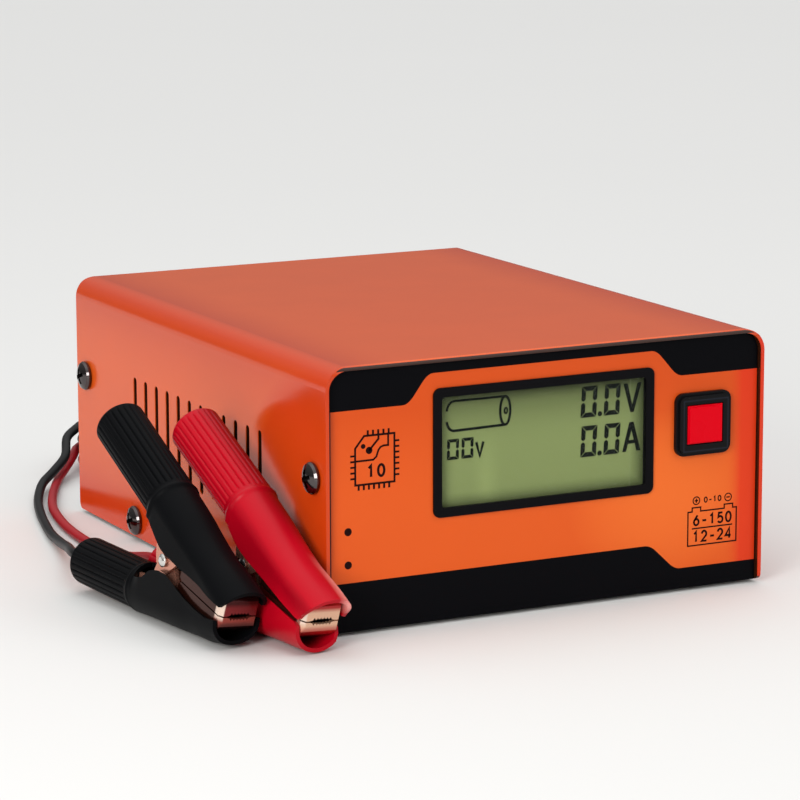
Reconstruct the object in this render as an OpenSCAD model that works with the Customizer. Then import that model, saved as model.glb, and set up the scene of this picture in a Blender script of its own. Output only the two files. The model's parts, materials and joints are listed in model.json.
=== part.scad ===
// Bench battery charger: steel box, front display, latching button, fan and two spring clamps on leads.
// Millimetres, +Z up, front faces -Y, origin under the middle of the box on the surface it stands on.

/* [Housing] */
// Outside width of the folded cover
body_w = 132; // [124:1:150]
// Outside depth of the folded cover, front edge to rear edge
body_d = 170; // [166:1:190]
// Height of the cover, bottom edge to top
body_h = 70; // [69:1:80]
// Thickness of the folded steel sheet
sheet_t = 1; // [0.8:0.1:1.2]
// Outside radius of the cover's two long bends
bend_r = 6; // [4:0.5:8]
// How far the front and rear walls sit behind the cover's edges
wall_recess = 1.6; // [1:0.1:2.5]
// Height of the rubber feet below the chassis
foot_h = 1; // [0.8:0.1:3]

/* [Side vents] */
// Number of upright slots in each side
vent_count = 12; // [6:1:14]
// Spacing of the slots
vent_pitch = 7.75; // [6:0.25:8]
// Width of a slot
vent_w = 2.4; // [2:0.1:3]
// Length of a slot, round ends included
vent_len = 25; // [15:1:30]
// Height of the top of the slots above the cover's bottom edge
vent_top = 47; // [40:1:52]
// Middle of the row of slots, front to back
vent_mid_y = -2; // [-6:1:6]

/* [Front panel] */
// Width of the display bezel
lcd_w = 66.5; // [60:0.5:70]
// Height of the display bezel
lcd_h = 34.4; // [30:0.2:36]
// Middle of the display, left to right
lcd_x = -1.2; // [-3:0.1:2]
// Middle of the display above the cover's bottom edge
lcd_z = 44.8; // [43:0.1:46]
// Width of the border round the display window
lcd_border = 2.5; // [2:0.1:3]
// Outside width and height of the button's bezel
key_bezel = 17.2; // [16:0.1:18]
// Width and height of the red key
key_w = 10.8; // [9:0.1:11.5]
// Middle of the button, left to right
key_x = 47.2; // [45:0.1:48]
// Middle of the button above the cover's bottom edge
key_z = 45.4; // [40:0.1:48]
// Travel of the key when it is pressed
key_travel = 2.4; // [1.5:0.1:3]

/* [Clamps] */
// Distance from the pivot back to the end of each grip, along the clamp
grip_back = 45.2; // [42:0.1:48]
// Height of each grip's end above the clamp's middle plane
grip_rise = 20.6; // [19:0.1:23]
// Angle between each grip and the clamp's middle plane
grip_angle = 12.8; // [11:0.1:15]
// Outside radius of the ribbed grip
grip_r = 6.65; // [6:0.05:6.8]
// Length of the ribbed grip
grip_len = 32.5; // [26:0.5:34]
// Half the width of the jaws
jaw_half = 5.75; // [5.5:0.05:5.8]
// Distance from the pivot to the front of the jaws
jaw_reach = 30.4; // [29:0.1:31]

/* [Leads] */
// Outside diameter of each lead
lead_d = 2.8; // [2.4:0.1:2.8]
// Whole turns in each stored coil, besides the part turn to its way out
coil_turns = 4; // [3:1:4]
// Radius of the coil at its outer turn
coil_r = 18.6; // [18:0.1:19]
// Spacing of neighbouring turns
coil_pitch = 3.3; // [3.3:0.05:3.4]

/* [Hidden] */
$fn = 48;
base_z = foot_h;
top_z = base_z + body_h;
half_w = body_w / 2;
half_d = body_d / 2;
inner_x = half_w - sheet_t - 0.3;
front_y = -half_d + wall_recess;
rear_y = half_d - wall_recess;
film_t = 0.4;
wall_front = front_y + film_t;
floor_top = base_z + sheet_t;
flange_h = 12;
screw_d = 4;
side_screw_len = 5;
screw_hole = 4.3;
tap_hole = 4.12;
// Side screws: distance from the middle (y) and height above the cover's bottom edge
side_screws = [[77.4, 41.5], [40.9, 5.1], [-42.8, 5.1], [-77.8, 40.5]];
board_w = 112;
board_front = -64;
board_rear = 56;
board_z = floor_top + 6;
board_t = 1.6;
board_top = board_z + board_t;
board_holes = [[-50, -58], [50, -58], [-50, 50], [50, 50]];
// Bosses of the display board, left to right and above the cover's bottom edge
boss_x = [lcd_x - 36, lcd_x + 36];
boss_z = [31, 59];
fan_size = 60;
fan_t = 20;
fan_x = 30;
fan_z = base_z + 35;
fan_hole = 50;
fan_bore = 57;
inlet_x = -42;
inlet_z = base_z + 42;
inlet_pin_at = [[-7, -2], [7, -2], [0, 2]];
lead_x = -10;
lead_z = base_z + 19;
coil_c = [-26, 137];
coil_exit = 150;
sleeve_wall = 1.15;
upper_grip_r = grip_r + 0.2;
hood_half = jaw_half + 0.1 + sleeve_wall;
hood_len = 78;
rivet_r = 1.3;
// Pivot, heading of the jaws, nose-down pitch and lean of each clamp
black_at = [-92.9, -54.6, 16.6];
black_turn = [-6.1, 14.4, 5.3];
red_at = [-76.4, -68.5, 16.6];
red_turn = [-5, 14.4, 5.6];

// ---- shared shapes ----

module round_rect(w, h, r) {
    square([w - 2 * r, h], center = true);
    square([w, h - 2 * r], center = true);
    for (sx = [-1, 1], sy = [-1, 1])
        translate([sx * (w / 2 - r), sy * (h / 2 - r)]) circle(r);
}

// A sheet outline that is square at the bottom and rounded at its two top corners
module arch(w, h, r) {
    translate([-w / 2, 0]) square([w, h - r]);
    translate([-w / 2 + r, 0]) square([w - 2 * r, h]);
    for (s = [-1, 1]) translate([s * (w / 2 - r), h - r]) circle(r);
}

// Extrudes an outline drawn in X and Z from y to y + t
module along_y(y, t) translate([0, y + t, 0]) rotate([90, 0, 0]) linear_extrude(t) children();

module rod_y(x, y, z, d, t) translate([x, y, z]) rotate([-90, 0, 0]) cylinder(d = d, h = t);

module rod_x(x, y, z, d, t) translate([x, y, z]) rotate([0, 90, 0]) cylinder(d = d, h = t);

// Pan-head screw with a cross recess, head up, underside of the head at z = 0
module pan_screw(d, len, head_d, head_h) {
    dome = (head_d * head_d / 4 + head_h * head_h) / (2 * head_h);
    difference() {
        union() {
            translate([0, 0, -len]) cylinder(d = d, h = len + 0.2);
            intersection() {
                cylinder(d = head_d, h = head_h);
                translate([0, 0, head_h - dome]) sphere(dome);
            }
        }
        for (a = [0, 90]) rotate(a)
            translate([-head_d * 0.29, -0.5, head_h * 0.45]) cube([head_d * 0.58, 1, head_h]);
    }
}

// ---- tubes swept along points ----

function unit(v) = v / norm(v);
function tangent(p, i) =
    i == 0 ? unit(p[1] - p[0]) :
    i == len(p) - 1 ? unit(p[i] - p[i - 1]) : unit(unit(p[i + 1] - p[i]) + unit(p[i] - p[i - 1]));
function carry(side, t) = unit(side - (side * t) * t);
function sides_of(p, i = 0, side = [0.31, 0.17, 0.93], made = []) =
    i == len(p) ? made :
    let (s = carry(side, tangent(p, i))) sides_of(p, i + 1, s, concat(made, [s]));
function ring(c, t, s, r, n) =
    [for (k = [0 : n - 1]) c + r * (cos(360 * k / n) * s + sin(360 * k / n) * cross(t, s))];

module tube(p, d, n) {
    s = sides_of(p);
    m = len(p);
    pts = [for (i = [0 : m - 1]) each ring(p[i], tangent(p, i), s[i], d / 2, n)];
    walls = [for (i = [0 : m - 2], k = [0 : n - 1])
        let (a = i * n + k, b = i * n + (k + 1) % n) each [[a, a + n, b], [b, a + n, b + n]]];
    ends = [for (k = [1 : n - 2]) each [[0, k, k + 1], [(m - 1) * n, (m - 1) * n + k + 1, (m - 1) * n + k]]];
    polyhedron(points = pts, faces = concat(walls, ends), convexity = 6);
}

// Smooth curve through points, n steps a span
function spline(p, n) = [
    for (i = [0 : len(p) - 2], k = [0 : n - 1])
        let (a = p[max(i - 1, 0)], b = p[i], c = p[i + 1], e = p[min(i + 2, len(p) - 1)], t = k / n)
        0.5 * (2 * b + (c - a) * t + (2 * a - 5 * b + 4 * c - e) * t * t
            + (3 * b - a - 3 * c + e) * t * t * t),
    p[len(p) - 1]];

// A piled coil: spirals in on one layer, climbs in the half turn at its eye, and spirals out on the next
function smooth(x) = x <= 0 ? 0 : x >= 1 ? 1 : x * x * (3 - 2 * x);
coil_all = coil_turns + coil_exit / 360;
function coil_point(u, z) =
    let (mid = coil_all / 2, r = coil_r - coil_pitch * (mid - abs(u - mid)),
        a = coil_exit + 360 * (u - coil_all))
    [coil_c[0] + r * cos(a), coil_c[1] + r * sin(a), z + coil_pitch * smooth((u - mid) * 2 + 0.5)];
coil_ring = 24;
function coil_path(z) =
    let (n = coil_all * coil_ring, p = [for (k = [0 : n]) coil_point(k / coil_ring, z)],
        s = unit(p[1] - p[0]), e = unit(p[n] - p[n - 1]))
    concat([p[0] - s * lead_d], p, [p[n] + e * lead_d]);
function least_gap(p, skip) =
    min([for (i = [0 : len(p) - 1], j = [i + skip : 1 : len(p) - 1]) norm(p[i] - p[j])]) - lead_d;
tie_t = 0.7;
red_coil_z = lead_d / 2 + tie_t + 0.2;
black_coil_z = red_coil_z + 2 * coil_pitch;
red_coil = coil_path(red_coil_z);
black_coil = coil_path(black_coil_z);
echo(coil_gap = least_gap(black_coil, 16));

// ---- housing ----

module wall_outline() arch(2 * inner_x, body_h - sheet_t - 0.3, bend_r - sheet_t - 0.3);

module chassis() color("silver") difference() {
    union() {
        translate([-inner_x, wall_front, base_z])
            cube([2 * inner_x, rear_y - sheet_t - wall_front - 0.02, sheet_t]);
        translate([0, 0, base_z]) along_y(wall_front, sheet_t) wall_outline();
        for (s = [-1, 1]) translate([s * (inner_x - sheet_t / 2) - sheet_t / 2, 0, base_z]) {
            translate([0, -78, 0]) cube([sheet_t, 156, flange_h]);
            translate([0, wall_front, side_screws[3][1] - 7]) cube([sheet_t, 13, 14]);
        }
        for (x = boss_x, z = boss_z) rod_y(x, wall_front, base_z + z, 4, 10);
    }
    for (s = [-1, 1], p = side_screws) rod_x(s * inner_x - 3, p[0], base_z + p[1], tap_hole, 6);
    for (x = [-52, 52], y = [-68, 68]) translate([x, y, base_z - 1]) cylinder(d = 5.1, h = 4);
    for (p = board_holes) translate([p[0], p[1], base_z - 1]) cylinder(d = 3.2, h = 4);
    translate([lcd_x, 0, base_z + lcd_z]) along_y(wall_front - 1, 3)
        square([lcd_w - 1.6, lcd_h - 1.6], center = true);
    translate([key_x, 0, base_z + key_z]) along_y(wall_front - 1, 3) square(15.6, center = true);
    for (x = boss_x, z = boss_z) rod_y(x, wall_front + 3, base_z + z, 2.1, 10);
}

// Rear wall with a lip that is spot-welded to the base
module rear_panel() color("silver") difference() {
    union() {
        translate([0, 0, base_z]) along_y(rear_y - sheet_t, sheet_t) wall_outline();
        translate([-inner_x + 5, rear_y - 9, floor_top + 0.02]) cube([2 * inner_x - 10, 9, sheet_t]);
        for (s = [-1, 1]) translate([s * (inner_x - sheet_t / 2) - sheet_t / 2, 70, base_z])
            translate([0, 0, side_screws[0][1] - 7]) cube([sheet_t, rear_y - 70, 14]);
    }
    for (s = [-1, 1]) rod_x(s * inner_x - 3, side_screws[0][0], base_z + side_screws[0][1], tap_hole, 6);
    rod_y(fan_x, rear_y - 3, fan_z, fan_hole, 6);
    for (sx = [-25, 25], sz = [-25, 25]) rod_y(fan_x + sx, rear_y - 3, fan_z + sz, 4.4, 6);
    translate([inlet_x, 0, inlet_z]) along_y(rear_y - 3, 6) square([27.4, 20.4], center = true);
    translate([lead_x, 0, lead_z]) along_y(rear_y - 3, 6) round_rect(12.1, 7.1, 3.5);
}

module rubber_feet() color("dimgray") for (x = [-52, 52], y = [-68, 68]) translate([x, y, 0]) {
    cylinder(d1 = 9.4, d2 = 10, h = foot_h);
    cylinder(d = 4.9, h = base_z + sheet_t + 0.05);
    translate([0, 0, base_z + sheet_t + 0.05]) cylinder(d1 = 6, d2 = 4, h = 1.6);
}

module cover() color("darkorange") difference() {
    intersection() {
        translate([0, 0, base_z]) along_y(-half_d, body_d) arch(body_w, body_h, bend_r);
        translate([-half_w, 0, base_z + body_h / 2]) rotate([90, 0, 90]) linear_extrude(body_w)
            round_rect(body_d, body_h, 2);
    }
    translate([0, 0, base_z - 1]) along_y(-half_d - 1, body_d + 2)
        arch(body_w - 2 * sheet_t, body_h - sheet_t + 1, bend_r - sheet_t);
    for (s = [-1, 1]) {
        for (p = side_screws) rod_x(s * half_w - 3, p[0], base_z + p[1], screw_hole, 6);
        for (i = [0 : vent_count - 1], y = vent_mid_y + (i - (vent_count - 1) / 2) * vent_pitch)
            translate([s * half_w - 3, y, base_z + vent_top - vent_len / 2]) rotate([90, 0, 90])
                linear_extrude(6) {
                    for (z = [-1, 1]) translate([0, z * (vent_len - vent_w) / 2])
                        circle(d = vent_w, $fn = 24);
                    square([vent_w, vent_len - vent_w], center = true);
                }
    }
}

// Domed crown on a bevelled rim, with a cross recess
module rimmed_screw(d, len, head_d, head_h) {
    r = head_d / 2;
    crown = (r * r + head_h * head_h / 4) / head_h;
    difference() {
        union() {
            translate([0, 0, -len]) cylinder(d = d, h = len + 0.2);
            intersection() {
                rotate_extrude()
                    polygon([[0, 0], [r - 0.4, 0], [r, 0.45], [r, 1], [r - 0.45, 1.6], [r - 0.6, 3], [0, 3]]);
                translate([0, 0, head_h - crown]) sphere(crown);
            }
        }
        for (a = [20, 110]) rotate(a)
            translate([-2.4, -0.55, head_h * 0.4]) cube([4.8, 1.1, head_h]);
    }
}

module cover_screws() color("dimgray") for (s = [-1, 1], p = side_screws)
    translate([s * (half_w + 0.02), p[0], base_z + p[1]]) rotate([0, s * 90, 0])
        rimmed_screw(screw_d, side_screw_len, 8.5, 2.7);

module front_film() color("orangered") difference() {
    translate([0, 0, base_z]) along_y(front_y, film_t) wall_outline();
    translate([lcd_x, 0, base_z + lcd_z]) along_y(front_y - 1, 2) round_rect(lcd_w - 0.7, lcd_h - 0.7, 1.5);
    translate([key_x, 0, base_z + key_z]) along_y(front_y - 1, 2) square(15.6, center = true);
}

module lcd_bezel() color("black") translate([lcd_x, 0, base_z + lcd_z]) difference() {
    union() {
        along_y(front_y - 0.5, 0.45) round_rect(lcd_w, lcd_h, 2);
        along_y(front_y - 0.1, 3.4) square([lcd_w - 2, lcd_h - 2], center = true);
    }
    along_y(front_y - 1, 5) round_rect(lcd_w - 2 * lcd_border, lcd_h - 2 * lcd_border, 1);
    along_y(front_y + 0.4, 4) square([lcd_w - 3.6, lcd_h - 3.6], center = true);
}

module lcd_window() color("darkseagreen", 0.5) translate([lcd_x, 0, base_z + lcd_z])
    along_y(front_y + 0.45, 1.2) square([lcd_w - 3.8, lcd_h - 3.8], center = true);

module lcd_panel() color("darkolivegreen") translate([lcd_x, 0, base_z + lcd_z]) {
    along_y(front_y + 1.8, 1.6) square([lcd_w - 4, lcd_h - 4], center = true);
    along_y(front_y + 3.4, 4) square([lcd_w - 8, lcd_h - 7], center = true);
}

module display_board() color("darkgreen") translate([0, 0, base_z]) difference() {
    union() {
        translate([boss_x[0] - 2.5, wall_front + 10, 27.5]) cube([boss_x[1] - boss_x[0] + 5, 1.6, 35.5]);
        translate([lcd_x - 20, wall_front + 11.6, 36]) cube([12, 1.5, 12]);
        translate([lcd_x + 8, wall_front + 11.6, 32]) cube([16, 6, 5]);
    }
    for (x = boss_x, z = boss_z) rod_y(x, wall_front + 9, z, 2.6, 4);
}

module display_screws() color("silver") for (x = boss_x, z = boss_z)
    translate([x, wall_front + 11.62, base_z + z]) rotate([-90, 0, 0]) pan_screw(2, 6, 4, 1.4);

module key_housing() color("black") translate([key_x, 0, base_z + key_z]) difference() {
    union() {
        along_y(front_y - 1.2, 1.2) round_rect(key_bezel, key_bezel, 2.5);
        along_y(front_y - 2, 1) round_rect(key_bezel - 1.6, key_bezel - 1.6, 1.9);
        along_y(front_y - 0.1, 18) square(15.3, center = true);
        for (x = [-4, 4]) translate([x - 0.4, front_y + 17.8, -3]) cube([0.8, 5, 6]);
    }
    along_y(front_y - 3, 14.6) square([key_w + 0.6, key_w + 0.2], center = true);
    rod_y(0, front_y + 10, 0, 3.6, 7);
}

module key_button() color("red") translate([key_x, 0, base_z + key_z]) {
    along_y(front_y - 2.4, 0.5) square([key_w - 0.8, key_w - 1.2], center = true);
    along_y(front_y - 2, 10) square([key_w, key_w - 0.4], center = true);
    rod_y(0, front_y + 7.9, 0, 3, 5.6);
}

// ---- inside ----

module main_board() color("darkgreen") difference() {
    translate([-board_w / 2, board_front, board_z]) cube([board_w, board_rear - board_front, board_t]);
    for (p = board_holes) translate([p[0], p[1], board_z - 1]) cylinder(d = 3.2, h = 4);
}

module board_standoffs() color("gold") for (p = board_holes) translate([p[0], p[1], floor_top])
    difference() {
        cylinder(d = 6, h = board_z - floor_top, $fn = 6);
        translate([0, 0, -1]) cylinder(d = 2.9, h = 9);
    }

module board_screws() color("silver") for (p = board_holes) {
    translate([p[0], p[1], board_top + 0.02]) pan_screw(2.8, 4.6, 5.6, 1.8);
    translate([p[0], p[1], base_z - 0.02]) rotate([180, 0, 0]) pan_screw(2.8, 3.6, 5.6, 0.9);
}

module transformer_core() color("dimgray") translate([4, -8, board_top + 3]) difference() {
    translate([-20, -6, 0]) cube([40, 12, 36]);
    for (s = [-1, 1]) translate([s * 10 - 4, -7, 6]) cube([8, 14, 24]);
}

module transformer_winding() color("goldenrod") translate([4, -8, board_top]) {
    difference() {
        union() {
            translate([0, 0, 9.4]) cylinder(r = 13, h = 23.2);
            for (z = [9.2, 32.5]) translate([-13.6, -14.5, z]) cube([27.2, 29, 0.4]);
        }
        translate([-6.1, -6.1, 0]) cube([12.2, 12.2, 60]);
        for (s = [-1, 1]) translate([s > 0 ? 13.8 : -23.8, -6.2, 0]) cube([10, 12.4, 60]);
    }
    for (s = [-1, 1]) translate([-13.6, s > 0 ? 8 : -14.5, 0]) cube([27.2, 6.5, 9.2]);
}

module input_capacitor() color("navy") translate([-38, -36, board_top]) {
    cylinder(d = 25, h = 36);
    translate([0, 0, 36]) cylinder(d1 = 25, d2 = 23, h = 1);
}

module output_capacitors() color("navy") for (x = [26, 38], y = [36, 48]) translate([x, y, board_top]) {
    cylinder(d = 10, h = 24);
    translate([0, 0, 24]) cylinder(d1 = 10, d2 = 9, h = 0.5);
}

module line_choke() color("saddlebrown") translate([-38, 2, board_top + 9]) rotate([90, 0, 0]) difference() {
    union() {
        rotate_extrude() translate([11, 0]) square([8, 11], center = true);
        for (a = [0 : 20 : 340]) if (abs(a - 270) > 30) rotate(a) translate([11, 0, 0]) rotate([90, 0, 0])
            translate([0, 0, -0.7]) linear_extrude(1.4) square([9.4, 12.4], center = true);
    }
    translate([-20, -29, -10]) cube([40, 20, 20]);
}

module fuse_clips() color("silver") for (y = [26, 42]) translate([-46, y, board_top]) difference() {
    translate([-3.4, -2.5, 0]) cube([6.8, 5, 7]);
    translate([0, -3, 4]) rotate([-90, 0, 0]) cylinder(d = 5.2, h = 6);
    translate([-1.8, -3, 4]) cube([3.6, 6, 5]);
}

module fuse() color("lightgray") rod_y(-46, 24, board_top + 4, 5.16, 20);

module finned(x, y, len, h) translate([x, y, board_top]) {
    translate([-1.5, 0, 0]) cube([3, len, h]);
    for (i = [0 : 4]) translate([1.4, 2 + i * (len - 5.5) / 4, 2]) cube([10, 1.5, h - 2]);
}

module primary_heatsink() color("lightgray") finned(-16, -52, 28, 36);

module secondary_heatsink() color("lightgray") finned(40, -48, 40, 40);

module to220(x, y, z) translate([x, y, z]) {
    translate([-4.6, -5, 0]) cube([4.5, 10, 9]);
    translate([-1.4, -5, 9]) cube([1.3, 10, 6.5]);
    for (k = [-2.54, 0, 2.54]) translate([-3, k - 0.4, -10]) cube([0.5, 0.8, 10.2]);
}

module power_transistors() color("black") for (y = [-43, -29]) to220(-17.6, y, board_top + 10);

module output_rectifiers() color("black") for (y = [-38, -20]) to220(38.4, y, board_top + 10);

module output_terminals() color("seagreen") translate([lead_x - 9, 46, board_top]) difference() {
    cube([18, 8, 15]);
    for (k = [4.5, 13.5]) translate([k, 4, 10]) cylinder(d = 4, h = 8);
}

// ---- rear panel ----

module at_fan() translate([fan_x, rear_y - sheet_t - 0.05, fan_z]) rotate([90, 0, 0]) children();

module fan_frame() color("black") at_fan() difference() {
    union() {
        difference() {
            linear_extrude(fan_t) round_rect(fan_size, fan_size, 4);
            translate([0, 0, -1]) cylinder(d = fan_bore, h = fan_t + 2);
        }
        translate([0, 0, fan_t - 3]) cylinder(d = 26, h = 3);
        for (a = [40, 160, 280]) rotate(a) translate([10, -1.5, fan_t - 2.8]) cube([19.2, 3, 2.6]);
    }
    translate([0, 0, fan_t - 4]) cylinder(d = 3.1, h = 3);
    for (sx = [-25, 25], sz = [-25, 25]) translate([sx, sz, -1]) cylinder(d = 4.1, h = fan_t + 2);
}

module fan_rotor() color("dimgray") at_fan() {
    translate([0, 0, 1.4]) cylinder(d = 25, h = fan_t - 5);
    translate([0, 0, fan_t - 4]) cylinder(d = 3, h = 2.6);
    for (a = [0 : 360 / 7 : 359]) rotate(a) translate([12, 0, fan_t / 2 - 1]) rotate([0, 90, 0])
        rotate(32) linear_extrude(15) square([13, 1.1], center = true);
}

module fan_guard() color("silver") translate([fan_x, rear_y + 0.6, fan_z]) rotate([90, 0, 0]) {
    for (r = [9, 16, 23, 27.5]) difference() {
        cylinder(r = r + 0.8, h = 0.58);
        translate([0, 0, -1]) cylinder(r = r - 0.8, h = 3);
    }
    difference() {
        for (a = [45, 135]) rotate(a) translate([-38.6, -0.8, 0]) cube([77.2, 1.6, 0.58]);
        translate([0, 0, -1]) cylinder(r = 8.4, h = 3);
        for (a = [45 : 90 : 315]) rotate(a) translate([35.36, 0, -1]) cylinder(d = 4, h = 3);
    }
    for (a = [45 : 90 : 315]) rotate(a) translate([35.36, 0, 0]) difference() {
        cylinder(d = 7, h = 0.58);
        translate([0, 0, -1]) cylinder(d = 4.2, h = 3);
    }
}

module fan_screws() color("dimgray") for (sx = [-25, 25], sz = [-25, 25])
    translate([fan_x + sx, rear_y + 0.62, fan_z + sz]) rotate([-90, 0, 0]) pan_screw(4, 12, 7, 1.75);

module mains_inlet() color("black") translate([inlet_x, 0, inlet_z]) {
    difference() {
        union() {
            along_y(rear_y + 0.02, 2) round_rect(30.6, 23.4, 2);
            along_y(rear_y - 18, 19) square([27, 20], center = true);
        }
        along_y(rear_y - 14, 20)
            polygon([[-12.2, -8.2], [12.2, -8.2], [12.2, 4], [8, 8.2], [-8, 8.2], [-12.2, 4]]);
        for (p = inlet_pin_at) translate([p[0] - 1.05, rear_y - 20, p[1] - 2.05]) cube([2.1, 8, 4.1]);
    }
}

module inlet_pins() color("silver") translate([inlet_x, 0, inlet_z])
    for (p = inlet_pin_at) translate([p[0] - 1, rear_y - 24, p[1] - 2]) cube([2, 21, 4]);

// ---- leads ----

lead_y = rear_y + 1.8;
grommet_at = [[lead_x - 2, lead_z], [lead_x + 2, lead_z]];

module lead_grommet() color("black") translate([lead_x, 0, lead_z]) difference() {
    union() {
        along_y(rear_y + 0.05, 1.75) round_rect(16, 11, 5);
        along_y(rear_y - 1.05, 1.2) round_rect(12, 7, 3.45);
        along_y(rear_y - 2.8, 1.7) round_rect(14, 9, 4.4);
    }
    for (s = [-1, 1]) rod_y(s * 2, rear_y - 5, 0, 2.84, 10);
}

// From the terminal block through the grommet and down to the start of its coil
function root_path(x, bends, coil) =
    let (last = coil[0] - unit(coil[1] - coil[0]) * 4)
    concat([[x, 54.05, lead_z], [x, 57, lead_z]],
        spline(concat([[x, 60, lead_z], [x, 88, lead_z]], bends, [last]), 3), [coil[0]]);
black_root_bends = [[-11.5, 98, 19.5], [-10, 111, 15.5], [-8, 122, 10.4]];
red_root_bends = [[-8, 97, 18], [-8, 106, 11], [-8, 115, 4.4], [-7.8, 123, 2.4]];

// A point of a clamp, and a direction in it, brought into the frame of the whole
function turned(turn, p) =
    let (a = [p[0], p[1] * cos(turn[0]) - p[2] * sin(turn[0]), p[1] * sin(turn[0]) + p[2] * cos(turn[0])],
        b = [a[0] * cos(turn[1]) + a[2] * sin(turn[1]), a[1], a[2] * cos(turn[1]) - a[0] * sin(turn[1])],
        c = turn[2] - 90)
    [b[0] * cos(c) - b[1] * sin(c), b[0] * sin(c) + b[1] * cos(c), b[2]];
function grip_point(at, turn, back) =
    at + turned(turn, [-grip_back - back * cos(grip_angle), 0, -grip_rise - back * sin(grip_angle)]);

// From a coil along the box's side to the end of a lower grip
function run_path(coil, bends, at, turn, n) =
    let (m = len(coil) - 1, e = unit(coil[m] - coil[m - 1]),
        last = [for (b = [9, 0.5]) grip_point(at, turn, b)])
    concat([coil[m]], spline(concat([coil[m] + e * 3], bends, last), n), [grip_point(at, turn, -6)]);
black_bends = [[-49.5, 137, 11], [-54.5, 126, 7.8], [-61, 119, 5.1], [-67.6, 112, 3], [-74.4, 98, 1.6],
    [-80, 82, 1.5], [-84.5, 66, 1.5], [-88, 52, 1.8], [-91.5, 36, 3.2], [-95.5, 20, 5.6]];
red_bends = [[-48, 136.5, 4.8], [-53, 130, 2.9], [-59, 121, 1.6], [-67, 104.5, 1.5], [-74, 87, 1.5],
    [-78, 71.5, 1.5], [-80.5, 57, 1.5], [-81.7, 42, 1.5], [-82.3, 26, 2], [-82.5, 8, 4.2]];

module black_lead_root() color("black") tube(root_path(lead_x - 2, black_root_bends, black_coil), lead_d, 8);
module red_lead_root() color("red") tube(root_path(lead_x + 2, red_root_bends, red_coil), lead_d, 8);
module black_lead_coil() color("black") tube(black_coil, lead_d, 6);
module red_lead_coil() color("red") tube(red_coil, lead_d, 6);
module black_lead() color("black")
    tube(run_path(black_coil, black_bends, black_at, black_turn, 3), lead_d, 8);
module red_lead() color("red") tube(run_path(red_coil, red_bends, red_at, red_turn, 3), lead_d, 8);

tie_at = 240;
tie_low = 0.1;
tie_high = black_coil_z + coil_pitch + lead_d / 2 + 0.3;
tie_in = coil_r - coil_pitch * coil_all / 2 - lead_d / 2 - 0.8;
tie_out = coil_r + lead_d / 2 + 0.3;

module coil_tie() color("black") translate([coil_c[0], coil_c[1], 0]) rotate(tie_at) difference() {
    union() {
        translate([(tie_in + tie_out) / 2, 0, (tie_low + tie_high + tie_t) / 2]) along_y(-2, 4)
            round_rect(tie_out - tie_in + 2 * tie_t, tie_high - tie_low + tie_t, 1.6);
        translate([tie_out + tie_t - 0.2, -3, tie_high - 5]) cube([3, 6, 4]);
    }
    translate([(tie_in + tie_out) / 2, 0, (tie_low + tie_high + tie_t) / 2]) along_y(-4, 8)
        round_rect(tie_out - tie_in, tie_high - tie_low - tie_t, 1);
}

// ---- clamps: X towards the jaws, Z towards the upper half, which turns about the rivet at pin ----

pin = [-1.1, 0, 0.9];

module grip_frame() translate([-grip_back, 0, grip_rise]) rotate([0, grip_angle, 0]) children();

// The hood continues the grip and closes in a little towards the jaws
module hood_frame() grip_frame() translate([grip_len, 0, 0]) rotate([0, 1.6, 0]) children();

// A bar along X with a round back and straight sides
module channel(half, top, deep, from, to)
    translate([from, 0, 0]) rotate([90, 0, 90]) linear_extrude(to - from) {
    translate([0, top - half]) circle(half);
    translate([-half, top - half - deep]) square([2 * half, deep]);
}

module side_outline(points) along_y(-20, 40) polygon(points);

upper_rim = [[-30, 40], [-23, 10], [-14.2, 9.3], [-12, 9], [-9.5, 8], [-7.3, 6.8], [-1.5, 3.9], [1.2, 3.5],
    [12, 3.3], [29, 2.8], [30.7, 2.8], [33.2, 8], [33.4, 12], [60, 40]];
lower_rim = [[-30, 40], [-23, 10], [-14.2, 9.3], [-12, 9], [-9.5, 7.2], [-5, 4], [0, 1.6], [3.3, 1.1],
    [9.5, 2], [15, 2.8], [25, 2.7], [29.2, 1.2], [29.8, 6], [29.2, 12], [60, 40]];

module sleeve(r, long, rim) difference() {
    union() {
        grip_frame() rotate([0, 90, 0]) {
            cylinder(r1 = r - 0.9, r2 = r, h = 0.9);
            translate([0, 0, 0.9]) cylinder(r = r, h = long - 0.9);
            translate([0, 0, long - 1.6]) cylinder(r = r + 0.35, h = 1.6);
        }
        intersection() {
            hood_frame() channel(hood_half, grip_r, 22, 0, 60);
            side_outline(rim);
        }
    }
    grip_frame() rotate([0, 90, 0]) translate([0, 0, 1.6]) cylinder(r = r - sleeve_wall, h = long);
    hood_frame() channel(hood_half - sleeve_wall, grip_r - sleeve_wall, 24, 0, 62);
}

module upper_sleeve() difference() {
    sleeve(upper_grip_r, grip_len + 3.5, upper_rim);
    grip_frame() rotate([0, 90, 0]) translate([0, 0, -1]) cylinder(d = 2, h = 4);
}

module lower_sleeve() mirror([0, 0, 1]) difference() {
    sleeve(grip_r, grip_len, lower_rim);
    grip_frame() rotate([0, 90, 0]) translate([0, 0, -1]) cylinder(d = lead_d + 0.1, h = 4);
}

// Side view of the trough, which ends in an ear round the rivet
function ear(low) = [[-44, 40], [-41.9, 19.6], [-14.2, 13.3], [-14.2, 8.7], [-9.3, 7.2], [-6.6, 4.6],
    [-5.6, 1], [-4.6, -1.2 - low], [-1.6, -2.4 - low], [1, -1.9 - low], [4.7, 2], [9.3, 4.6], [9.3, 40]];

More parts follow.
